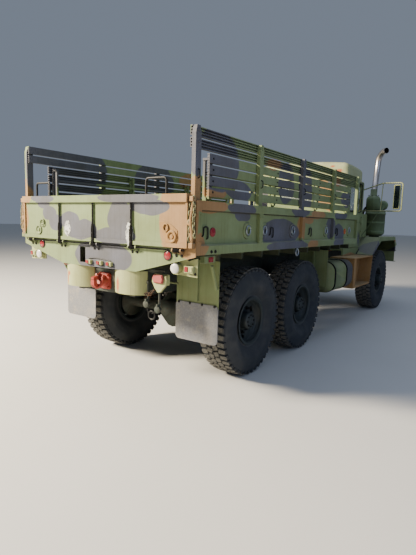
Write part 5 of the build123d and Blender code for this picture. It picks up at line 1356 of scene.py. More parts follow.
@dataclass
class Finishes:
    """Every finish of the truck, built once, and the CAD nodes that take each.

    Attributes:
        strap_y: The middles of the fuel tank's straps.
        strap_half: Half a strap's width.
        roof_rim: The height from which the cab's roof is crowned.
        rail_top: The height of the tailgate's top rail.
        side_drop: How far the roof falls towards its sides.
        brow_drop: How far it falls towards its front.
        brow_y: Where it starts to fall towards its front.
        brow_length: From there to its front edge.
        roof_half: Half its width.
        roof_rise: How far above its rim the fall is whole.
    """

    strap_y: tuple[float, ...] = (0.3085, -0.2115)
    strap_half: float = 0.027
    roof_rim: float = 2.522
    rail_top: float = 1.935
    side_drop: float = 0.050
    brow_drop: float = 0.060
    brow_y: float = -1.15
    brow_length: float = 0.77
    roof_half: float = 0.9
    roof_rise: float = 0.30

    def __post_init__(self) -> None:
        """Builds the finishes."""
        # Alkyd enamel after years of sun: matt and chalky, paler where it looks up, streaked by rain
        self.paint = CamouflagePaint("Chalked three-colour alkyd paint").build()
        # The same enamel without patches, lifting at one rear corner, where rust has run
        self.roof = CamouflagePaint("Chalked roof paint", green="#9fa783", rust=0.85, bloom=0.15,
                                    camouflage=False, stains=patches(
            (-0.741, -0.93, 2.641, 0.07, 0.10, 0.035), (-0.62, -0.95, 2.72, 0.05, 0.10, 0.02),
        )).build()
        # Boots and loads scrape it: rust shows on top, and the beams underneath are darkened almost to black
        # as painted shade
        self.floor = CamouflagePaint("Scraped floor paint", rust=1.0, bloom=0.1, soiled_below=1.400).build()
        # Plain tan enamel, which is warm and even beside the camouflage
        self.tan = CamouflagePaint("Tan alkyd paint on the steps", green="#9f7a4c", camouflage=False).build()
        # Newer enamel that has chalked less, so it is darker and greener
        self.plain = CamouflagePaint("Green alkyd paint without black or brown", green="#64785a",
                                     camouflage=False, bloom=0.15).build()
        # Enamel bleached almost to cream, with orange runs below its bolts
        self.cream = CamouflagePaint("Sun-bleached green paint with rust runs", green="#a3aa7c", rust=0.35,
                                     camouflage=False, stains=patches(
            (0.487, 3.79, 1.070, 0.026, 0.07, 0.100), (0.455, 3.79, 1.12, 0.030, 0.07, 0.03),
            (-0.287, 3.79, 1.070, 0.034, 0.07, 0.090),
        )).build()
        # Enamel half bleached, between the plain green and the cream
        self.guard = CamouflagePaint("Bleached green paint on the guards", green="#75845c", rust=0.2,
                                     camouflage=False).build()
        # Oil and road film dull the dark green, and it is darkened further as painted shade, so that the
        # frame reads as shadow
        self.chassis = GrimyMetal("Green chassis paint under road grime", "#2f3a30", "#3f3c33", 0.55,
                                  60.0).build()
        # Dust lies on the discs in patches and greys their green, which is darkened and blued as painted
        # shade
        self.wheel = GrimyMetal("Green wheel paint under dust", "#2a3334", "#4a4a44", 0.34, 30.0,
                                roughness=0.55).build()
        # Leaves rub one another bare and rust brown, with a low metallic gleam
        self.spring = GrimyMetal("Spring steel with brown rust", "#3a332c", "#6b4a33", 0.6, 25.0, 0.4,
                                 0.65).build()
        # Green enamel that oil has darkened in broad patches
        self.iron = GrimyMetal("Painted cast iron with oil", "#4a5140", "#26241f", 0.5, 50.0,
                               roughness=0.5).build()
        # Blackened bolts and brackets, with a dark sheen and specks of rust
        self.black_metal = GrimyMetal("Black oxide steel", "#1f2021", "#4a3c32", 0.3, 15.0, 0.5, 0.5).build()
        # Near-black, partly old grease and partly painted shade: the darkest lines of the tailgate, which
        # stand for its gaps in shadow
        self.greasy = GrimyMetal("Greasy black hinge steel", "#08080a", "#17120e", 0.3, 12.0, roughness=0.9,
                                 shine=0.1).build()
        # Enamel worn thin, so that the links are pale green with dark patches
        self.chain = GrimyMetal("Green-painted chain steel", "#8f9066", "#33312a", 0.5, 10.0).build()
        # Zinc gone dull, with a soft metallic light; its pale blue grey is partly painted highlight, the
        # sky's reflection on the rings
        self.galvanised = GrimyMetal("Galvanised ring steel", "#a3adb5", "#5c5f60", 0.35, 14.0, 0.7,
                                     0.4).build()
        # Heat has stained the bare tube in long brown clouds, bright where it turns to the sun
        self.pipe = GrimyMetal("Heat-stained bare steel pipe", "#cfcac6", "#8d7f76", 0.42, 45.0, 1.0, 0.32,
                               (1.0, 1.0, 4.0)).build()
        # Dry carbon, so the pipe's mouth is a black hole
        self.soot = GrimyMetal("Soot inside the pipe", "#0d0d0e", "#1a1817", 0.4, 20.0, roughness=0.95,
                               shine=0.1).build()
        # Primer worn by the towing eye: saturated red over brown
        self.primer = GrimyMetal("Worn red oxide primer", "#a83325", "#5a3226", 0.3, 12.0,
                                 roughness=0.6).build()
        # Red enamel gone pink in the sun
        self.faded_red = GrimyMetal("Sun-bleached red paint", "#b4544e", "#8d6a5c", 0.3, 14.0,
                                    roughness=0.7).build()
        # Rubber sheet with dry mud in it, so the flaps are pale grey and have no shine
        self.flap = GrimyMetal("Weathered grey rubber sheet", "#85868a", "#9c9891", 0.5, 70.0,
                               roughness=0.85).build()
        # Moulded black with a satin skin
        self.plastic = GrimyMetal("Moulded black plastic", "#1d1e1f", "#3b3a37", 0.3, 40.0,
                                  roughness=0.55).build()
        # Dull black beads round the panes, greyed by ozone
        self.rubber = GrimyMetal("Black window rubber", "#202122", "#4c4b47", 0.35, 20.0,
                                 roughness=0.8).build()
        # White enamel under a brown film
        self.white = GrimyMetal("Dirty white paint", "#dededa", "#8c8878", 0.28, 30.0, roughness=0.55).build()
        # White brushed on thinly and scraped, so that flakes of white stand on black
        self.scraped = GrimyMetal("White paint scraped through to black", "#e6e8e4", "#1c1e22", 0.55, 18.0,
                                  stretch=(1.0, 1.0, 1.5)).build()
        # Acrylic: deep clear colour under gloss, broken up by its moulded relief
        self.red = MouldedLens("Red acrylic lens", "#8a0c1e").build()
        self.amber = MouldedLens("Amber acrylic lens", "#c05c10").build()
        self.clear = MouldedLens("Clear fluted glass lens", "#dcdcd8", 10.0).build()
        # Old glass: clear, faintly green and hazed in patches by dust
        self.glass = WindowGlass("Laminated window glass").build()
        # Coated cloth: matt olive with a weave that shows when it is near
        self.cloth = CoatedCloth("Vinyl-coated cotton duck").build()

    def dress_nodes(self) -> None:
        """Gives each carried-over CAD node its finish."""
        special = {
            self.chassis: ("chassis_frame", "front_axle", "rear_axles", "steering_knuckle_left",
                           "steering_knuckle_right", "driveline"),
            self.spring: ("leaf_springs",),
            self.iron: ("engine_block",),
            self.black_metal: ("radiator",),
            self.plastic: ("steering_wheel",),
            self.roof: ("cab_roof",),
            self.floor: ("bed_floor",),
            self.glass: ("cab_glass",),
            self.primer: ("pintle_hook",),
            self.flap: ("mud_flaps",),
            self.tan: ("step_boxes",),
            self.plain: ("air_cleaner", "exhaust_stack"),
            self.cream: ("bumperettes", "mirrors", "tail_lamps"),
            self.guard: ("splash_guards",),
            self.wheel: WHEEL_NODES,
        }
        chosen = {name: material for material, names in special.items() for name in names}
        for name, node in frame["nodes"].items():
            node.data.materials.clear()
            node.data.materials.append(chosen.get(name, self.paint))
            node.data.shade_flat()
        self._smooth_curved(chosen)

    def _smooth_curved(self, chosen: dict[str, bpy.types.Material]) -> None:
        """Puts a merged, smooth-shaded copy in place of each CAD node whose faces are curved.

        Args:
            chosen: Node name to finish.
        """
        # Columns: material slot, nodes
        curved = (
            ("roof_paint", ("cab_roof",)), ("wheel_paint", WHEEL_NODES),
            ("red_oxide", ("pintle_hook",)), ("black_plastic", ("steering_wheel",)),
            ("chassis_paint", ("driveline", "rear_axles", "front_axle")),
            (PAINT_SLOT, ("hood", "fuel_tank", "air_tanks", "headlamps", "bumperettes", "fenders", "mirrors",
                          "air_cleaner", "tailgate")),
        )
        for slot, names in curved:
            for name in names:
                merged = merged_copy(name)
                if name == "cab_roof":
                    self._crown(merged)
                data = mesh_data(merged, f"smooth_{name}")
                material, body = chosen.get(name, self.paint), frame["nodes"][name]["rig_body"]
                piece = place_mesh(data, f"smooth_{name}", material, body, CURVED)
                if name == "fuel_tank":
                    data.materials.append(self.greasy)
                    banded = [int(any(abs(face.center.y - y) < self.strap_half for y in self.strap_y))
                              for face in data.polygons]
                    data.polygons.foreach_set("material_index", banded)
                if name == "tailgate":
                    # Its panels are flat, and the two grab handles above its top rail are bare black steel
                    data.shade_flat()
                    data.materials.append(self.black_metal)
                    data.polygons.foreach_set("material_index", [int(face.center.z > self.rail_top)
                                                                 for face in data.polygons])
                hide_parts(name)

    def _crown(self, roof: bmesh.types.BMesh) -> None:
        """Cuts the flat roof into strips and lowers it towards its edges, most at the front corners.

        Args:
            roof: The merged mesh of the roof's CAD node.
        """
        # Columns: axis, first cut, last cut, strips
        for axis, low, high, count in ((0, -0.85, 0.85, 17), (1, -1.87, -0.97, 9)):
            for i in range(count + 1):
                place, normal = [0.0, 0.0, 0.0], [0.0, 0.0, 0.0]
                place[axis] = low + (high - low) * i / count
                normal[axis] = 1.0
                bmesh.ops.bisect_plane(roof, geom=list(roof.verts) + list(roof.edges) + list(roof.faces),
                                       plane_co=place, plane_no=normal)
        for v in roof.verts:
            across = (v.co.x / self.roof_half) ** 2
            forward = min(max((self.brow_y - v.co.y) / self.brow_length, 0.0), 1.0) ** 2
            share = min(max((v.co.z - self.roof_rim) / self.roof_rise, 0.0), 1.0)
            v.co.z -= share * (self.side_drop * across + self.brow_drop * forward)


@dataclass
class WheelDressing:
    """Nuts, hub bolts, rim lock rings and valve stems of the six wheels.

    Attributes:
        stud_circle: The radius of the ten wheel nuts.
        rear_face: How far the disc of a rear wheel lies outside the wheel's centre.
        front_face: The same for a front wheel.
        hub_reach: How far the hub stands out of the disc.
        lip: How far the rim's lip lies outside the wheel's centre.
        hub_circle: The radius of the eight bolts on the hub.
        stem_drop: How far the valve's stem lies behind the wheel's centre.
    """

    stud_circle: float = 0.1475
    rear_face: float = 0.010
    front_face: float = 0.096
    hub_reach: float = 0.112
    lip: float = 0.118
    hub_circle: float = 0.066
    stem_drop: float = 0.205

    def dress(self, finishes: Finishes) -> None:
        """Makes the fittings of each wheel, on its own body.

        Args:
            finishes: The truck's finishes.
        """
        for station, side, centre in wheels():
            s, body, place = side.value, f"wheel_{station}_{side.word}", f"{station}_{side.word}"
            out = (float(s), 0.0, 0.0)
            disc_x = centre.x + s * (self.front_face if station == "front" else self.rear_face)
            nuts = Fastener(0.033, 0.024, 6, 0.024, 0.014)
            nuts.ring((disc_x, centre.y, centre.z), out, self.stud_circle, 10)
            nuts.finish(f"wheel_nuts_{place}", finishes.black_metal, body, "wheel_paint")
            bolts = Fastener(0.019, 0.010, 6, 0.0, 0.004)
            bolts.ring((disc_x + s * self.hub_reach, centre.y, centre.z), out, self.hub_circle, 8)
            bolts.finish(f"hub_bolts_{place}", finishes.black_metal, body, "wheel_paint")
            rim = Shape()
            rim.hoop([(-0.004, 0.236), (0.004, 0.236), (0.006, 0.246), (-0.006, 0.246)],
                     (centre.x + s * self.lip, centre.y, centre.z), out, 64)
            stem = [(disc_x + s * reach, centre.y + self.stem_drop, centre.z) for reach in (0.004, 0.03)]
            rim.pipe(stem, 0.005, 8)
            rim.finish(f"rim_lock_ring_{place}", finishes.wheel, body, "wheel_paint")


@dataclass
class BedDressing:
    """Fittings of the bed's sides: lashing rings, hooks, reflectors, lamps and bolts.

    Attributes:
        face_x: The panel's outer face.
        rail_x: The rails' outer face.
        ring_z: The height of the lashing rings.
        ring_stations: The y of each lashing ring.
        hook_stations: The y of each hook.
    """

    face_x: float = 1.200
    rail_x: float = 1.238
    ring_z: float = 1.620
    ring_stations: tuple[float, ...] = (2.90, 2.56, 1.86, 0.78, -0.20)
    hook_stations: tuple[float, ...] = (3.62, 2.40, 1.34, 0.36)

    def _ring(self, shape: Shape, side: Side, y: float) -> None:
        """Adds a dished pan and the eye that its ring hangs from.

        Args:
            shape: The shape that takes it.
            side: The side that it is on.
            y: Its place along the truck.
        """
        s, z = side.value, self.ring_z
        face, out = s * self.face_x, s * (self.face_x + 0.022)
        dish = [(0.0, 0.050), (0.010, 0.052), (0.016, 0.062), (0.016, 0.074), (0.010, 0.082), (0.0, 0.084)]
        shape.hoop(dish, (face, y, z), (s, 0, 0), 28)
        shape.box((face, y - 0.022, z + 0.018), (out, y + 0.022, z + 0.052), 0.004)

    def _bar(self, shape: Shape, side: Side, y: float) -> None:
        """Adds the ring that hangs in a pan."""
        x = side.value * (self.face_x + 0.016)
        shape.pipe(oval((x, y, self.ring_z + 0.006), (0, 0, -0.044), (0, 0.038, 0), 20), 0.008, 8, True)

    def _hook(self, shape: Shape, side: Side, y: float) -> None:
        """Adds a bent bar hook for a rope: an arch that stands on the panel, with two legs down.

        Args:
            shape: The shape that takes it.
            side: The side that it is on.
            y: Its place along the truck.
        """
        s = side.value
        face, x, z = s * self.face_x, s * (self.face_x + 0.016), self.ring_z
        shape.pipe(rounded([
            (face, y - 0.036, z - 0.070), (x, y - 0.034, z - 0.062), (x, y - 0.030, z + 0.036),
            (x, y + 0.030, z + 0.036), (x, y + 0.034, z - 0.040), (face, y + 0.036, z - 0.046),
        ], 0.022), 0.007, 8)

    def dress(self, finishes: Finishes) -> None:
        """Makes the fittings of both sides.

        Args:
            finishes: The truck's finishes.
        """
        for side in Side:
            s = side.value
            rings = Shape()
            for y in self.ring_stations:
                self._ring(rings, side, y)
            rings.finish(f"lashing_pans_{side.word}", finishes.paint)
            bars = Shape()
            for y in self.ring_stations:
                self._bar(bars, side, y)
            # A ring on an eye under the lower rail
            bars.pipe(oval((s * 1.225, 1.736, 1.362), (0, 0.036, 0), (0, 0, 0.040), 18), 0.009, 8, True)
            bars.box((s * 1.218, 1.722, 1.388), (s * 1.232, 1.750, 1.418), 0.002)
            bars.finish(f"lashing_rings_{side.word}", finishes.galvanised)
            hooks = Shape()
            for y in self.hook_stations:
                self._hook(hooks, side, y)
            hooks.finish(f"rope_hooks_{side.word}", finishes.black_metal)
            for name, y, finish in (("red", 3.50, finishes.red), ("amber", -0.03, finishes.amber)):
                lens = Shape()
                centre = (s * self.face_x, y, self.ring_z - 0.01)
                lens.stud((0.008, 0.041), (0.012, 0.034), centre, (s, 0, 0))
                lens.finish(f"{name}_reflector_{side.word}", finish, slot="red_lens")
            bolts = Fastener(0.022, 0.010, 6, 0.016)
            for y in (3.50, 3.56):
                bolts.at((s * self.rail_x, y, 1.440), (s, 0, 0))
            rivets = Fastener(0.014, 0.005, 10)
            for y in (3.748, 2.678, 1.607, 0.537, -0.533):
                for z in (1.53, 1.76):
                    rivets.at((s * self.rail_x, y - 0.022, z), (s, 0, 0))
                    rivets.at((s * self.rail_x, y + 0.022, z), (s, 0, 0))
            rivets.finish(f"post_rivets_{side.word}", finishes.paint)
            bolts.finish(f"rail_bolts_{side.word}", finishes.black_metal)
            lamp = Shape()
            lamp.box((s * 1.16, 3.458, 1.336), (s * 1.215, 3.622, 1.402), 0.006)
            lamp.finish(f"side_lamp_box_{side.word}", finishes.guard)
            lens = Shape()
            lens.box((s * 1.214, 3.500, 1.346), (s * 1.222, 3.568, 1.392), 0.003)
            lens.finish(f"side_lamp_lens_{side.word}", finishes.red, slot="red_lens")
            braces = Shape()
            for ends in (((1.150, 3.420, 1.300), (1.120, 3.292, 1.060)),
                         ((0.964, 0.300, 1.290), (1.100, 0.444, 0.980))):
                braces.pipe([(s * x, y, z) for x, y, z in ends], 0.014, 8)
            braces.finish(f"guard_braces_{side.word}", finishes.guard)


@dataclass
class TailgateDressing:
    """Fittings of the tailgate: straps, hinge rod, latch discs, scraped white patches, levers and chains.

    Attributes:
        panel_y: The outer face of the panels.
        rib_y: The outer face of the ribs.
        hinge: The (y, z) of the hinge line.
        ribs: The x of the ribs that carry a strap.
    """

    panel_y: float = 3.8235
    rib_y: float = 3.8375
    hinge: Flat = (3.8185, 1.452)
    ribs: tuple[float, ...] = (0.0, 0.530, -0.530)

    def _disc(self, shape: Shape, x: float, z: float, radius: float) -> None:
        """Adds a dished round latch plate with a boss in its middle.

        Args:
            shape: The shape that takes it.
            x: Its place across the truck.
            z: Its height.
            radius: Its radius.
        """
        centre = (x, self.panel_y, z)
        shape.hoop([(0.0, radius * 0.52), (0.006, radius * 0.60), (0.012, radius * 0.80), (0.010, radius),
                    (0.0, radius)], centre, REAR, 28)
        shape.lathe([(0.0, radius * 0.36), (0.010, radius * 0.34), (0.013, 0.0)], centre, REAR, 20)

    def _latches(self, finishes: Finishes) -> None:
        """Makes the latch discs of both ends and the tan lever plate of the right end.

        Args:
            finishes: The truck's finishes.
        """
        ring_y, ring_z = self.panel_y + 0.012, 1.640
        discs = Shape()
        # Columns: centre x, centre z, radius
        for x, z, radius in ((0.911, 1.565, 0.052), (0.835, 1.653, 0.032)):
            self._disc(discs, x, z, radius)
        discs.pipe(oval((0.835, ring_y, ring_z), (0.036, 0, 0), (0, 0, 0.036), 18), 0.005, 8, True)
        discs.finish("left_latch_discs", finishes.paint, "tailgate")
        plate = Shape()
        lever = [(-0.865, 1.690), (-0.905, 1.590), (-0.945, 1.520), (-0.985, 1.488), (-1.040, 1.490),
                 (-1.076, 1.545), (-1.068, 1.620), (-1.000, 1.668), (-0.930, 1.692)]
        plate.prism(lever, Axis.Y, self.panel_y - 0.001, self.panel_y + 0.005, 0.0015)
        plate.hoop([(0.004, 0.028), (0.014, 0.034), (0.018, 0.044), (0.014, 0.053), (0.004, 0.055)],
                   (-1.011, self.panel_y, 1.566), REAR, 28)
        plate.lathe([(0.004, 0.020), (0.014, 0.018), (0.016, 0.0)], (-1.011, self.panel_y, 1.566), REAR, 20)
        plate.pipe(oval((-0.946, ring_y, ring_z), (0.026, 0, 0), (0, 0, 0.032), 18), 0.006, 8, True)
        plate.finish("right_latch_lever", finishes.tan, "tailgate")

    def _straps(self, finishes: Finishes) -> None:
        """Makes the straps down the ribs, the rod and the knuckles of the hinge, all near-black as painted
        shade: they stand for the tailgate's dark gap and shadow lines.

        Args:
            finishes: The truck's finishes.
        """
        straps = Shape()
        for x in self.ribs:
            straps.box((x - 0.011, self.rib_y - 0.002, 1.600), (x + 0.011, self.rib_y + 0.003, 1.852), 0.001)
            flared = [(x - 0.011, 1.650), (x + 0.011, 1.650), (x + 0.019, 1.600), (x + 0.019, 1.462),
                      (x - 0.019, 1.462), (x - 0.019, 1.600)]
            straps.prism(flared, Axis.Y, self.rib_y - 0.002, self.rib_y + 0.007, 0.0015)
        y, z = self.hinge
        straps.pipe([(-1.14, y + 0.002, z), (1.14, y + 0.002, z)], 0.006, 10)
        barrel = [(0.0, 0.010), (0.0, 0.018), (0.012, 0.020), (0.060, 0.020), (0.072, 0.018), (0.072, 0.0)]
        for x in HINGES_X:
            straps.lathe(barrel, (x - 0.036, y + 0.002, z), (1, 0, 0), 16)
        straps.finish("tailgate_hinge_straps", finishes.greasy, "tailgate")

    def _ends(self, finishes: Finishes) -> None:
        """Makes the latch hooks and chains that hang on the bed at both ends of the tailgate.

        Args:
            finishes: The truck's finishes.
        """
        hooks = Shape()
        for side in Side:
            s = side.value
            hooks.pipe(rounded([(s * 1.204, 3.802, 1.905), (s * 1.222, 3.818, 1.82), (s * 1.208, 3.832, 1.70),
                                (s * 1.226, 3.824, 1.60), (s * 1.214, 3.812, 1.50)], 0.05), 0.012, 8)
            hooks.box((s * 1.194, 3.790, 1.860), (s * 1.236, 3.836, 1.905), 0.004)
            hooks.box((s * 1.190, 3.790, 1.475), (s * 1.234, 3.832, 1.520), 0.004)
            hooks.stud((0.030, 0.026), (0.034, 0.016), (s * 1.200, 3.806, 1.69), REAR, 16)
            hooks.prism([(s * 1.196, 1.66), (s * 1.236, 1.63), (s * 1.232, 1.555), (s * 1.206, 1.530),
                         (s * 1.190, 1.58)], Axis.Y, 3.812, 3.830, 0.003)
        hooks.finish("tailgate_latch_hooks", finishes.paint)
        lines = []
        for side in Side:
            s = side.value
            lines.append([(s * 1.226, 3.814, 1.89), (s * 1.244, 3.820, 1.80), (s * 1.236, 3.830, 1.68),
                          (s * 1.246, 3.822, 1.58)])
            lines.append([(s * 1.196, 3.810, 1.87), (s * 1.188, 3.826, 1.76), (s * 1.202, 3.830, 1.62),
                          (s * 1.190, 3.824, 1.52)])
        Chain(0.032, 0.0050).finish("tailgate_latch_chains", lines, finishes.chain)

    def _scraped_patches(self, finishes: Finishes) -> None:
        """Makes the two ovals of white paint, with ragged edges.

        Args:
            finishes: The truck's finishes.
        """
        patches = Shape()
        # Columns: centre x, centre z, half width, half height
        for x, z, half_x, half_z in ((0.410, 1.590, 0.049, 0.084), (-0.506, 1.570, 0.042, 0.104)):
            oval = []
            for a in turns(40):
                ragged = 1.0 + 0.05 * math.sin(5 * a + x * 9) + 0.04 * math.sin(11 * a)
                oval.append((x + half_x * ragged * math.cos(a), z + half_z * ragged * math.sin(a)))
            front = self.rib_y if x < 0 else self.panel_y
            patches.prism(oval, Axis.Y, self.panel_y - 0.001, front + 0.0015)
        patches.finish("scraped_white_patches", finishes.scraped, "tailgate")

    def dress(self, finishes: Finishes) -> None:
        """Makes the tailgate's fittings, on its own body, and the hooks and chains on the bed.

        Args:
            finishes: The truck's finishes.
        """
        self._latches(finishes)
        self._straps(finishes)
        self._scraped_patches(finishes)
        self._ends(finishes)
        rivets = Fastener(0.014, 0.004, 10)
        for x in self.ribs:
            for z in (1.500, 1.560, 1.700, 1.800):
                rivets.at((x, self.rib_y + (0.006 if z < 1.6 else 0.002), z), REAR)
        rivets.finish("tailgate_strap_rivets", finishes.black_metal, "tailgate")


@dataclass
class RearDressing:
    """Fittings under the tailgate: reflectors, lamps, hook bolts, air couplings and flap bolts.

    Attributes:
        sill_y: The rear face of the shaped sill.
        marker_y: The rear face of the three marker blocks on it.
        lamp_y: The rear face of the lamp plates.
        frame_y: The rear face of the crossmember.
        hook_z: The height of the tow hook.
    """

    sill_y: float = 3.7865
    marker_y: float = 3.8125
    lamp_y: float = 3.7225
    frame_y: float = 3.6715
    hook_z: float = 1.075

    def dress(self, finishes: Finishes) -> None:
        """Makes the fittings at the rear of the chassis.

        Args:
            finishes: The truck's finishes.
        """
        self._lamps(finishes)
        self._bolts(finishes)
        self._couplings(finishes)
        latch = Shape()
        y, z = self.frame_y + 0.020, self.hook_z
        tongue = [(y + 0.03, z + 0.045), (y + 0.11, z + 0.064), (y + 0.10, z + 0.082), (y + 0.03, z + 0.068)]
        latch.prism(tongue, Axis.X, -0.012, 0.012, 0.002)
        latch.pipe([(-0.05, y + 0.052, z + 0.050), (0.05, y + 0.052, z + 0.050)], 0.009, 10)
        for s in BOTH_SIDES:
            latch.stud((0.010, 0.016), (0.013, 0.010), (s * 0.045, y + 0.052, z + 0.050), (s, 0, 0), 14)
        # The hook's horns close round the towing eye in a ring
        latch.hoop([(0.014 * math.sin(a), 0.060 + 0.016 * math.cos(a)) for a in turns(10)],
                   (0.0, y + 0.078, z - 0.004), (0.0, 0.94, 0.34), 28)
        latch.stud((0.012, 0.084), (0.016, 0.078), (0.0, self.frame_y + 0.010, z), REAR, 32)
        latch.finish("hook_latch", finishes.primer, slot="red_oxide")

    def _lamps(self, finishes: Finishes) -> None:
        """Makes the reflectors, the three marker lamps and the lenses on the lamp plates.

        Args:
            finishes: The truck's finishes.
        """
        red = Shape()
        holders = Shape()
        rims = Shape()
        for x, z in ((0.905, 1.410), (-0.936, 1.399)):
            centre = (x, self.sill_y, z)
            red.stud((0.008, 0.038), (0.013, 0.030), centre, REAR, 28)
            rims.hoop([(0.0, 0.037), (0.009, 0.037), (0.009, 0.044), (0.0, 0.045)], centre, REAR, 28)
        for s in BOTH_SIDES:
            # The red half of each square lamp is the one towards the left
            red.box((s * 1.140 + 0.004, 3.754, 1.266), (s * 1.140 + 0.043, 3.762, 1.312), 0.004)
            holders.box((s * 1.140 - 0.043, 3.754, 1.266), (s * 1.140, 3.762, 1.312), 0.004)
        y = self.marker_y
        for x in (0.100, -0.060, -0.200):
            red.box((x - 0.006, y - 0.002, 1.250), (x + 0.035, y + 0.008, 1.284), 0.004)
            holders.box((x - 0.034, y - 0.002, 1.254), (x - 0.010, y + 0.004, 1.288), 0.003)
            # A black ledge under each marker lamp stands for the shadow below it: painted shadow
            rims.box((x - 0.040, self.sill_y, 1.240), (x + 0.040, self.sill_y + 0.012, 1.247), 0.002)
        wire = [(x, self.sill_y + 0.006, z) for x, z in ((0.120, 1.300), (0.02, 1.312), (-0.10, 1.306),
                                                         (-0.205, 1.296))]
        rims.pipe(rounded(wire, 0.03), 0.004, 8)
        # A thin black strip on the sill stands for a slot: painted shade
        rims.box((0.107, self.sill_y - 0.001, 1.412), (0.174, self.sill_y + 0.001, 1.420), 0.0)
        # A clearance lamp lies on the left bumperette
        red.box((0.535, 3.690, 1.196), (0.600, 3.735, 1.212), 0.005)
        red.finish("red_lenses", finishes.red, slot="red_lens")
        holders.finish("lamp_holders", finishes.cream, slot="lamp_glass")
        rims.finish("lamp_rims_and_wire", finishes.black_metal)
        clear = Shape()
        for s in BOTH_SIDES:
            clear.lathe([(0.040, 0.046), (0.052, 0.045), (0.060, 0.034), (0.063, 0.0)],
                        (s * 1.000, self.lamp_y, 1.290), REAR, 32)
        clear.finish("reversing_lenses", finishes.clear, slot="lamp_glass")

    def _bolts(self, finishes: Finishes) -> None:
        """Makes the bolts of the hook, the flaps, the lamp plates and the hinge brackets.

        Args:
            finishes: The truck's finishes.
        """
        bolts = Fastener(0.024, 0.014, 6, 0.018, 0.012)
        for dx in (-0.062, 0.062):
            for dz in (-0.062, 0.062):
                bolts.at((dx, self.frame_y + 0.018, self.hook_z + dz), REAR)
        bolts.finish("hook_flange_bolts", finishes.primer, slot="red_oxide")
        small = Fastener(0.019, 0.009, 6, 0.014)
        for s in BOTH_SIDES:
            for x in (0.66, 0.80, 0.95, 1.10):
                small.at((s * x, 3.2865, 0.892), REAR)
            small.at((s * 1.190, self.lamp_y, 1.250), REAR)
        for x in HINGES_X:
            small.at((x - 0.030, self.sill_y, 1.405), REAR)
            small.at((x + 0.030, self.sill_y, 1.405), REAR)
        small.finish("flap_and_sill_bolts", finishes.black_metal)

    def _couplings(self, finishes: Finishes) -> None:
        """Makes the trailer socket under its shield and the two air couplings that hang below it.

        Args:
            finishes: The truck's finishes.
        """
        x, y = -0.756, self.frame_y
        shield = Shape()
        shield.prism([(x - 0.090, 1.196), (x + 0.074, 1.190), (x + 0.088, 1.140), (x + 0.050, 1.080),
                      (x + 0.016, 1.036), (x - 0.020, 1.040), (x - 0.086, 1.110), (x - 0.098, 1.160)],
                     Axis.Y, y + 0.008, y + 0.034, 0.005)
        shield.box((x - 0.098, y - 0.020, 1.110), (x + 0.080, y + 0.012, 1.212), 0.008)
        shield.finish("trailer_socket_shield", finishes.cream)
        cap = Shape()
        cap.prism([(x - 0.056, 1.206), (x + 0.050, 1.206), (x + 0.066, 1.168), (x + 0.046, 1.128),
                   (x - 0.058, 1.128), (x - 0.070, 1.168)], Axis.Y, y + 0.030, y + 0.058, 0.010)
        cap.finish("trailer_socket_cap", finishes.faded_red, slot="red_oxide")
        bracket = Shape()
        bracket.box((-0.80, y - 0.030, 1.215), (-0.42, y - 0.004, 1.245), 0.003)
        bracket.stud((0.012, 0.020), (0.016, 0.012), (-0.588, y, 1.117), REAR, 16)
        coupling = [(0.0, 0.018), (0.024, 0.020), (0.028, 0.032), (0.046, 0.034), (0.052, 0.022),
                    (0.052, 0.0)]
        for stem_x, low_z in ((-0.596, 0.909), (-0.740, 0.875)):
            bracket.pipe([(stem_x, y, 1.100), (stem_x, y, low_z + 0.030)], 0.011, 10)
            bracket.lathe(coupling, (stem_x, y - 0.012, low_z), REAR, 20)
            bracket.box((stem_x - 0.012, y + 0.006, low_z + 0.016),
                        (stem_x + 0.012, y + 0.040, low_z + 0.052), 0.004)
        bracket.finish("air_couplings", finishes.chassis)
        Chain(0.026, 0.0042).finish("socket_cap_chain", [
            [(-0.590, y + 0.030, 1.010), (-0.640, y + 0.032, 1.018), (-0.700, y + 0.034, 1.052)],
            [(-0.600, y + 0.026, 1.000), (-0.650, y + 0.030, 0.990), (-0.690, y + 0.030, 1.046)],
        ], finishes.spring, slot="red_oxide")
        Chain(0.022, 0.003).finish("coupling_chains", [
            [(-0.60, y + 0.03, 0.90), (-0.61, y + 0.03, 0.86), (-0.63, y + 0.025, 0.845)],
            [(-0.74, y + 0.03, 0.87), (-0.72, y + 0.03, 0.84), (-0.685, y + 0.025, 0.835)],
        ], finishes.black_metal)
        rings = Shape()
        for ring_x, ring_z, radius in ((-0.656, 0.809, 0.040), (0.196, 1.007, 0.036)):
            rings.pipe(oval((ring_x, y + 0.012, ring_z), (0, 0, radius), (radius, 0, 0), 20), 0.008, 8, True)
        rings.finish("rear_rings", finishes.black_metal)


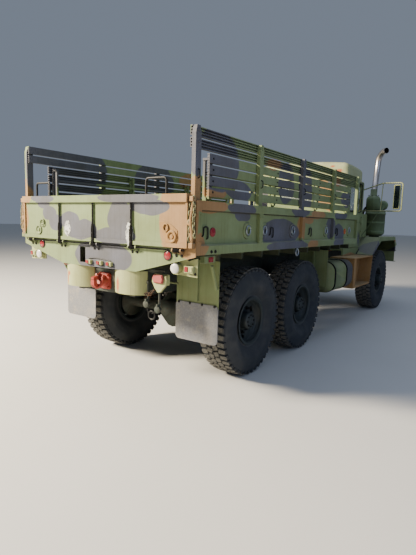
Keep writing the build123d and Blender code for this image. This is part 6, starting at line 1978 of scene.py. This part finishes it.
@dataclass
class RackDressing:
    """Bolts of the racks and the folding seats, and the rope staples on the stakes.

    Attributes:
        stations: The y of each stake.
        seat_stations: The y of each of the folded seats' bolt rows.
        plank_z: The bottom of the lowest plank.
        pitch: From one plank to the next.
    """

    stations: tuple[float, ...] = (3.7485, 2.678, 1.6075, 0.537, -0.5335)
    seat_stations: tuple[float, ...] = (-0.2515, 0.9878, 2.2272, 3.4665)
    plank_z: float = 1.919
    pitch: float = 0.0965

    def dress(self, finishes: Finishes) -> None:
        """Makes the bolts of each rack and each seat on its own body.

        Args:
            finishes: The truck's finishes.
        """
        for side in Side:
            s = side.value
            stakes = Fastener(0.020, 0.007, 12)
            staples = Shape()
            for y in self.stations:
                for i in (4, 5):
                    stakes.at((s * 1.214, y, self.plank_z + i * self.pitch + 0.040), (s, 0, 0))
                staples.pipe(rounded([(s * 1.213, y, 2.13), (s * 1.234, y, 2.125), (s * 1.234, y, 2.06),
                                      (s * 1.213, y, 2.055)], 0.012), 0.005, 8)
            stakes.finish(f"stake_bolts_{side.word}", finishes.paint)
            staples.finish(f"stake_staples_{side.word}", finishes.black_metal)
            seat = Fastener(0.018, 0.006, 12)
            for y in self.seat_stations:
                for i in range(4):
                    seat.at((s * 1.168, y, self.plank_z + i * self.pitch + 0.040), (s, 0, 0))
            seat.finish(f"seat_bolts_{side.word}", finishes.black_metal, f"troop_seat_{side.word}")


@dataclass
class CabDressing:
    """Fittings of the cab: handles, window rubbers, mirror glasses, rods and wipers.

    Attributes:
        door_x: The outer face of the doors.
        head_y: The rear face of the mirror heads.
        head_x: The centre of the mirror heads.
        wall_y: The rear face of the cab's wall.
        pane_y: The front face of the windscreen's frame.
    """

    door_x: float = 0.900
    head_y: float = -1.8355
    head_x: float = 1.508
    wall_y: float = -0.9515
    pane_y: float = -1.8895

    def _door(self, side: Side, finishes: Finishes) -> None:
        """Makes the handle, window rubber and stiffening beads of a door.

        Args:
            side: The side that it is on.
            finishes: The truck's finishes.
        """
        s = side.value
        body = f"door_{side.word}"
        rubber = Shape()
        corners = [(-1.7835, 1.949), (-1.0975, 1.949), (-1.0975, 2.473), (-1.7835, 2.473)]
        loop = [(s * (self.door_x + 0.002), y, z) for y, z in corners]
        rubber.pipe(rounded_loop(loop, 0.06), 0.008, 6, True)
        rubber.finish(f"window_rubber_{side.word}", finishes.rubber, body, "black_plastic")
        handle = Shape()
        handle.box((s * self.door_x, -1.20, 1.785), (s * (self.door_x + 0.010), -1.10, 1.845), 0.003)
        root, grip = s * (self.door_x + 0.008), s * (self.door_x + 0.045)
        handle.pipe(rounded([(root, -1.125, 1.815), (grip, -1.125, 1.815), (grip, -1.235, 1.808)], 0.015),
                    0.009, 10)
        for z in (1.42, 1.88):
            handle.prism([(-1.80, z), (-1.08, z), (-1.08, z + 0.016), (-1.80, z + 0.016)], Axis.X,
                         s * self.door_x, s * (self.door_x + 0.004), 0.001)
        handle.finish(f"door_handle_{side.word}", finishes.paint, body)

    def _mirrors(self, finishes: Finishes) -> None:
        """Makes the mirror glasses and the rod that steadies each mirror's bracket.

        Args:
            finishes: The truck's finishes.
        """
        glass = Shape()
        back = Shape()
        rods = Shape()
        for s in BOTH_SIDES:
            x, y = s * self.head_x, self.head_y
            glass.box((x - 0.044, y, 2.036), (x + 0.044, y + 0.002, 2.444), 0.001)
            back.box((x - 0.046, -1.8625, 2.034), (x + 0.046, -1.8600, 2.446), 0.001)
            rods.pipe([(s * 1.209, -1.8715, 1.986), (s * 1.100, -1.884, 1.800), (s * 0.897, -1.905, 1.500)],
                      0.007, 8)
        # Silvered glass mirrors the sky, with a grey bloom in patches
        silver = GrimyMetal("Silvered mirror glass", "#5c666e", "#8a9296", 0.25, 60.0, 1.0, 0.10).build()
        glass.finish("mirror_glasses", silver, slot="glass")
        back.finish("mirror_backs", finishes.plastic, slot="black_plastic")
        rods.finish("mirror_steady_rods", finishes.plain)

    def dress(self, finishes: Finishes) -> None:
        """Makes the fittings of the cab.

        Args:
            finishes: The truck's finishes.
        """
        for side in Side:
            self._door(side, finishes)
        self._mirrors(finishes)
        trim = Shape()
        half, low, high, y = 0.380, 2.085, 2.415, self.wall_y + 0.001
        loop = [(-half, y, low), (half, y, low), (half, y, high), (-half, y, high)]
        trim.pipe(rounded_loop(loop, 0.06), 0.010, 6, True)
        for s in BOTH_SIDES:
            near, far = s * 0.022, s * 0.840
            y = self.pane_y - 0.001
            loop = [(near, y, 1.985), (far, y, 1.985), (far, y, 2.445), (near, y, 2.445)]
            trim.pipe(rounded_loop(loop, 0.045), 0.009, 6, True)
        trim.finish("cab_window_rubbers", finishes.rubber, slot="black_plastic")
        wipers = Shape()
        for s in BOTH_SIDES:
            y = self.pane_y
            wipers.stud((0.022, 0.016), (0.026, 0.010), (s * 0.43, y, 1.965),
                         FRONT, 14)
            wipers.pipe([(s * 0.43, y - 0.020, 1.965), (s * 0.26, y - 0.016, 2.19)], 0.005, 8)
            wipers.box((s * 0.26 - 0.006, y - 0.016, 2.05), (s * 0.26 + 0.006, y - 0.006, 2.33), 0.002)
        wipers.finish("wipers", finishes.black_metal, slot="black_plastic")
        grabs = Shape()
        for s in BOTH_SIDES:
            foot, bar = (s * 0.882, self.wall_y - 0.006), (s * 0.905, self.wall_y + 0.030)
            grabs.pipe(rounded([(*foot, 1.45), (*bar, 1.46), (*bar, 2.02), (*foot, 2.03)], 0.03), 0.010, 10)
        grabs.finish("cab_grab_bars", finishes.paint)
        rivets = Fastener(0.012, 0.004, 10)
        for z in (1.34, 2.47):
            rivets.row((-0.86, self.wall_y, z), (0.86, self.wall_y, z), REAR, 22)
        rivets.finish("cab_wall_rivets", finishes.paint)


@dataclass
class NoseDressing:
    """Fittings of the hood and fenders: lamps, latches, guards and rivets.

    Attributes:
        lamp_x: The centre of the headlamps.
        lamp_y: The front of their shells.
        lamp_z: Their height.
    """

    lamp_x: float = 0.980
    lamp_y: float = -3.5715
    lamp_z: float = 1.275

    def _guard(self, shape: Shape, s: int, rise: float) -> None:
        """Adds one bar of a headlamp's guard, rise above the lamp's middle.

        Args:
            shape: The shape that takes it.
            s: 1 for the left side and -1 for the right.
            rise: How far above the lamp's middle it lies.
        """
        x, y, z = s * self.lamp_x, self.lamp_y, self.lamp_z + rise
        shape.pipe(rounded([(x - 0.115, y + 0.05, z), (x - 0.115, y - 0.055, z), (x + 0.115, y - 0.055, z),
                            (x + 0.115, y + 0.05, z)], 0.03), 0.007, 8)

    def dress(self, finishes: Finishes) -> None:
        """Makes the lamps on the fenders and the latches on the hood.

        Args:
            finishes: The truck's finishes.
        """
        lens = Shape()
        rims = Shape()
        amber = Shape()
        bezel = [(-0.012, 0.084), (0.014, 0.084), (0.018, 0.090), (0.010, 0.099), (-0.012, 0.099)]
        for s in BOTH_SIDES:
            centre = (s * self.lamp_x, self.lamp_y, self.lamp_z)
            lens.lathe([(0.0, 0.082), (0.012, 0.078), (0.022, 0.056), (0.026, 0.0)], centre, FRONT, 32)
            rims.hoop(bezel, centre, FRONT, 40)
            for rise in (-0.045, 0.045):
                self._guard(rims, s, rise)
            amber.lathe([(0.0, 0.040), (0.006, 0.040), (0.012, 0.030), (0.014, 0.0)],
                        (s * 1.144, -3.5815, 1.320), FRONT, 28)
            amber.lathe([(0.0, 0.020), (0.006, 0.019), (0.008, 0.0)],
                        (s * 1.190, -3.389, 1.404), (s, 0, 0), 16)
        lens.finish("headlamp_lenses", finishes.clear, slot="lamp_glass")
        rims.finish("headlamp_rims", finishes.paint)
        amber.finish("turn_lamp_lenses", finishes.amber, slot="red_lens")
        latches = Shape()
        for s in BOTH_SIDES:
            latches.box((s * 0.618, -2.36, 1.60), (s * 0.646, -2.33, 1.68), 0.003)
            latches.pipe([(s * 0.640, -2.345, 1.61), (s * 0.650, -2.345, 1.56)], 0.006, 8)
        latches.finish("hood_latches", finishes.black_metal, "hood")
        rivets = Fastener(0.012, 0.004, 10)
        for s in BOTH_SIDES:
            rivets.row((s * 0.68, -3.40, 1.490), (s * 1.16, -3.40, 1.490), UP, 6)
            rivets.row((s * 1.16, -3.36, 1.490), (s * 1.16, -2.25, 1.490), UP, 12)
        rivets.finish("fender_rivets", finishes.paint)


@dataclass
class StackDressing:
    """The bare exhaust pipe above its green shield, and the fittings of the air cleaner.

    Attributes:
        centre: The (x, y) of the air cleaner's canister.
        radius: The canister's radius.
        collar_z: The top of the green shield's collar, above which the pipe is bare.
        mouth: The middle of the pipe's open end.
        outward: The direction in which it opens.
        bore: The radius within which its wall is the inside of the pipe.
    """

    centre: Flat = (-1.000, -2.4265)
    radius: float = 0.186
    collar_z: float = 2.430
    mouth: Point = (-1.1647, -2.2483, 3.140)
    outward: Point = (-0.766, 0.643, 0.0)
    bore: float = 0.0525

    def _pipe(self, finishes: Finishes) -> None:
        """Makes the stack from its CAD node: bare steel above the collar and soot in its mouth.

        Args:
            finishes: The truck's finishes.
        """
        merged = merged_copy("exhaust_stack")
        mouth, outward = Vector(self.mouth), Vector(self.outward).normalized()
        chosen = []
        for face in merged.faces:
            spot = face.calc_center_median() - mouth
            along = spot.dot(outward)
            inside = (spot - outward * along).length < self.bore and along > -0.075
            chosen.append(2 if inside else int(spot.z + mouth.z > self.collar_z))
        data = mesh_data(merged, "smooth_exhaust_stack")
        piece = place_mesh(data, "smooth_exhaust_stack", finishes.plain, CHASSIS, CURVED)
        data.materials.append(finishes.pipe)
        data.materials.append(finishes.soot)
        data.polygons.foreach_set("material_index", chosen)
        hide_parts("exhaust_stack")

    def dress(self, finishes: Finishes) -> None:
        """Makes the pipe, the canister's straps and the hoses beside its neck.

        Args:
            finishes: The truck's finishes.
        """
        self._pipe(finishes)
        x, y = self.centre
        straps = Shape()
        inner, outer, back = self.radius, self.radius + 0.004, y + self.radius
        band = [(-0.016, inner), (0.016, inner), (0.016, outer), (-0.016, outer)]
        for z in (1.60, 1.78):
            straps.hoop(band, (x, y, z), UP, 40)
            straps.box((x - 0.014, back - 0.004, z - 0.016), (x + 0.014, back + 0.030, z + 0.016), 0.003)
        straps.finish("canister_straps", finishes.plain)
        hoses = Shape()
        thick = [(-0.80, -2.34, 1.52), (-0.78, -2.30, 1.80), (-0.80, -2.32, 2.06), (-0.90, -2.36, 2.10)]
        hoses.pipe(rounded(thick, 0.10), 0.020, 10)
        thin = [(-0.76, -2.40, 1.60), (-0.74, -2.38, 1.98), (-0.84, -2.40, 2.02)]
        hoses.pipe(rounded(thin, 0.08), 0.012, 8)
        hoses.stud((0.060, 0.030), (0.070, 0.020), (-0.86, -2.33, 2.075), UP, 16)
        hoses.finish("air_cleaner_hoses", finishes.rubber, slot="black_plastic")
        filter_bowl = Shape()
        filter_bowl.lathe([(0.0, 0.0), (0.0, 0.024), (0.008, 0.030), (0.090, 0.030), (0.098, 0.024),
                           (0.100, 0.012), (0.186, 0.012), (0.186, 0.0)], (-1.020, -2.220, 1.296), UP, 24)
        filter_bowl.finish("fuel_filter_bowl", finishes.white, slot="lamp_glass")
        bolts = Fastener(0.020, 0.008, 6, 0.014)
        bolts.ring((-0.950, -2.3865, 2.300), UP, 0.095, 8)
        bolts.ring((x, y, 2.010), UP, 0.168, 10)
        bolts.finish("canister_lid_bolts", finishes.black_metal)


@dataclass
class SeatDressing:
    """Padded cushions of the cab, blown up by cloth simulation from blocks a little too small.

    Attributes:
        swell: The farthest that the cover moves out.
        voxel: The size of the cover's faces before they are split.
        cord: The radius of the sewn cord.
        pressure: The air pressure that blows a cushion up.
        frames: How many frames it is blown up for.
    """

    swell: float = 0.022
    voxel: float = 0.014
    cord: float = 0.005
    pressure: float = 4.0
    frames: int = 20

    def _pad(self, name: str, low: Vector, high: Vector) -> bpy.types.Object:
        """Makes one cushion inside the space of its CAD solid.

        Args:
            name: Its name.
            low: The lower corner of its space.
            high: The upper corner of its space.

        Returns:
            The cushion's object.
        """
        inset = self.swell * 0.55
        mesh = bmesh.new()
        made = bmesh.ops.create_cube(mesh, size=1.0)["verts"]
        for v in made:
            v.co = Vector([low[i] + inset if v.co[i] < 0 else high[i] - inset for i in range(3)])
        bmesh.ops.bevel(mesh, geom=list(mesh.edges), offset=0.022, segments=3, affect="EDGES")
        pad = in_scene(name, mesh_data(mesh, name))
        remesh = pad.modifiers.new("remesh", "REMESH")
        remesh.mode = "VOXEL"
        remesh.voxel_size = self.voxel
        pad.data = evaluated(pad)
        rest = [v.co.copy() for v in pad.data.vertices]
        cloth = pad.modifiers.new("cloth", "CLOTH")
        cloth.settings.use_pressure = True
        cloth.settings.uniform_pressure_force = self.pressure
        cloth.settings.effector_weights.gravity = 0.0
        for number in range(1, self.frames + 1):
            bpy.context.scene.frame_set(number)
        blown = evaluated(pad)
        for v, was in zip(blown.vertices, rest):
            move = v.co - was
            if move.length > self.swell:
                v.co = was + move.normalized() * self.swell
        pad.data = blown
        bpy.context.scene.frame_set(1)
        softer = pad.modifiers.new("softer", "SUBSURF")
        softer.levels = 1
        pad.data = evaluated(pad)
        for v in pad.data.vertices:
            v.co = Vector([min(max(v.co[i], low[i]), high[i]) for i in range(3)])
        return pad

    def dress(self, finishes: Finishes) -> None:
        """Makes the four cushions with piped seams, in place of the CAD blocks.

        Args:
            finishes: The truck's finishes.
        """
        # Columns: name, centre x, half width
        seats = (("driver", 0.520, 0.250), ("bench", -0.330, 0.460))
        for name, centre, half in seats:
            left, right = centre - half, centre + half
            for part, low, high in (
                ("cushion", Vector((left, -1.5765, 1.6003)), Vector((right, -1.0465, 1.730))),
                ("back", Vector((left, -1.1558, 1.734)), Vector((right, -1.0458, 2.120))),
            ):
                pad = self._pad(f"{name}_{part}", low, high)
                cover = pad.data
                bpy.data.objects.remove(pad)
                piece = place_mesh(cover, f"{name}_{part}_pad", finishes.cloth, CHASSIS, 60.0)
                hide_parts("seat_cushions")
                self._piping(f"{name}_{part}_piping", low, high, part == "cushion", finishes)

    def _piping(self, name: str, low: Vector, high: Vector, flat: bool, finishes: Finishes) -> None:
        """Lays a sewn cord round the face of a cushion that is sat on or leant on.

        Args:
            name: The name of the piece.
            low: The lower corner of the cushion's space.
            high: Its upper corner.
            flat: True for a cushion, whose face looks up; False for a back, whose face looks forwards.
            finishes: The finishes of the truck.
        """
        inset = 0.030
        low_x, high_x = low.x + inset, high.x - inset
        if flat:
            z = high.z - inset * 0.55
            corners = [(low_x, low.y + inset, z), (high_x, low.y + inset, z), (high_x, high.y - inset, z),
                       (low_x, high.y - inset, z)]
        else:
            y = low.y + inset * 0.55
            corners = [(low_x, y, low.z + inset), (high_x, y, low.z + inset), (high_x, y, high.z - inset),
                       (low_x, y, high.z - inset)]
        cord = Shape()
        cord.pipe(rounded_loop(corners, 0.05), self.cord, 8, True)
        cord.finish(name, finishes.rubber, slot="seat_cloth")


@dataclass
class Studio:
    """The pale floor, the soft lights and the camera at the photograph's place.

    Attributes:
        place: The camera's place.
        yaw: Its turn from -Y towards +X, in radians.
        pitch: Its tilt, in radians.
        roll: Its roll, in radians.
        focal_px: Its focal length, in pixels of the 416 by 555 frame.
        frame_px: The frame's longer side.
        reach: Half the floor's width.
    """

    place: Point = (-3.4343, 6.6779, 1.701)
    yaw: float = 0.6198
    pitch: float = -0.1271
    roll: float = 0.0278
    focal_px: float = 436.9
    frame_px: float = 555.0
    reach: float = 90.0

    def _camera(self) -> None:
        """Sets up the camera from its fitted place and turns."""
        level = math.cos(self.pitch)
        forward = Vector((math.sin(self.yaw) * level, -math.cos(self.yaw) * level, math.sin(self.pitch)))
        right = forward.cross(Vector(UP)).normalized()
        up = right.cross(forward)
        c, s = math.cos(self.roll), math.sin(self.roll)
        tilted_right = right * c + up * s
        tilted_up = up * c - right * s
        data = bpy.data.cameras.new("camera")
        data.sensor_width = 36.0
        data.lens = self.focal_px / self.frame_px * data.sensor_width
        data.clip_end = 200.0
        camera = in_scene("camera", data)
        turn = Matrix((tilted_right, tilted_up, -forward)).transposed()
        camera.matrix_world = Matrix.Translation(self.place) @ turn.to_4x4()
        bpy.context.scene.camera = camera

    def _light(self, name: str, place: Point, size: float, power: float, colour: str) -> None:
        """Adds a square soft light that faces the truck's middle.

        Args:
            name: The light's name.
            place: Where it hangs.
            size: Its width.
            power: Its power, in watts.
            colour: Its colour.
        """
        data = bpy.data.lights.new(name, "AREA")
        data.shape = "SQUARE"
        data.size = size
        data.energy = power
        data.color = linear(colour)[:3]
        lamp = in_scene(name, data)
        lamp.location = place
        lamp.rotation_mode = "QUATERNION"
        lamp.rotation_quaternion = (Vector((0, 0.5, 1.0)) - Vector(place)).to_track_quat("-Z", "Y")

    def build(self) -> None:
        """Builds the floor, the lights and the camera."""
        material, tree, shader, where = new_material("Pale studio floor")
        cloudy = mixed(tree, noise(tree, where, 900.0), linear("#c9c8c4"), linear("#cfceca"))
        tree.links.new(cloudy, shader.inputs["Base Color"])
        shader.inputs["Roughness"].default_value = 0.9
        data = bpy.data.meshes.new("floor")
        corners = [(x * self.reach, y * self.reach, 0) for x, y in ((-1, -1), (1, -1), (1, 1), (-1, 1))]
        data.from_pydata(corners, [], [(0, 1, 2, 3)])
        data.materials.append(material)
        floor = in_scene("floor", data)
        self._light("key", (8.0, 11.0, 7.5), 2.6, 8600.0, "#fff0d6")
        self._light("fill", (-11.0, 4.0, 5.0), 8.0, 260.0, "#b9d0ff")
        self._light("top", (0.0, 0.0, 10.0), 9.0, 260.0, "#dbe6ff")
        world = bpy.data.worlds.new("studio air")
        world.use_nodes = True
        background = world.node_tree.nodes["Background"]
        background.inputs["Color"].default_value = linear("#bccbe2")
        background.inputs["Strength"].default_value = 0.36
        bpy.context.scene.world = world
        self._camera()


def main() -> None:
    """Builds the looks round the frame, in order."""
    logging.basicConfig(level=logging.INFO, format="%(name)s: %(message)s")
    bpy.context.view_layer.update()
    Studio().build()
    finishes = Finishes()
    finishes.dress_nodes()
    TreadedTyre().dress()
    WheelDressing().dress(finishes)
    BedDressing().dress(finishes)
    TailgateDressing().dress(finishes)
    RearDressing().dress(finishes)
    RackDressing().dress(finishes)
    CabDressing().dress(finishes)
    NoseDressing().dress(finishes)
    StackDressing().dress(finishes)
    SeatDressing().dress(finishes)


if __name__ == "__main__":
    main()
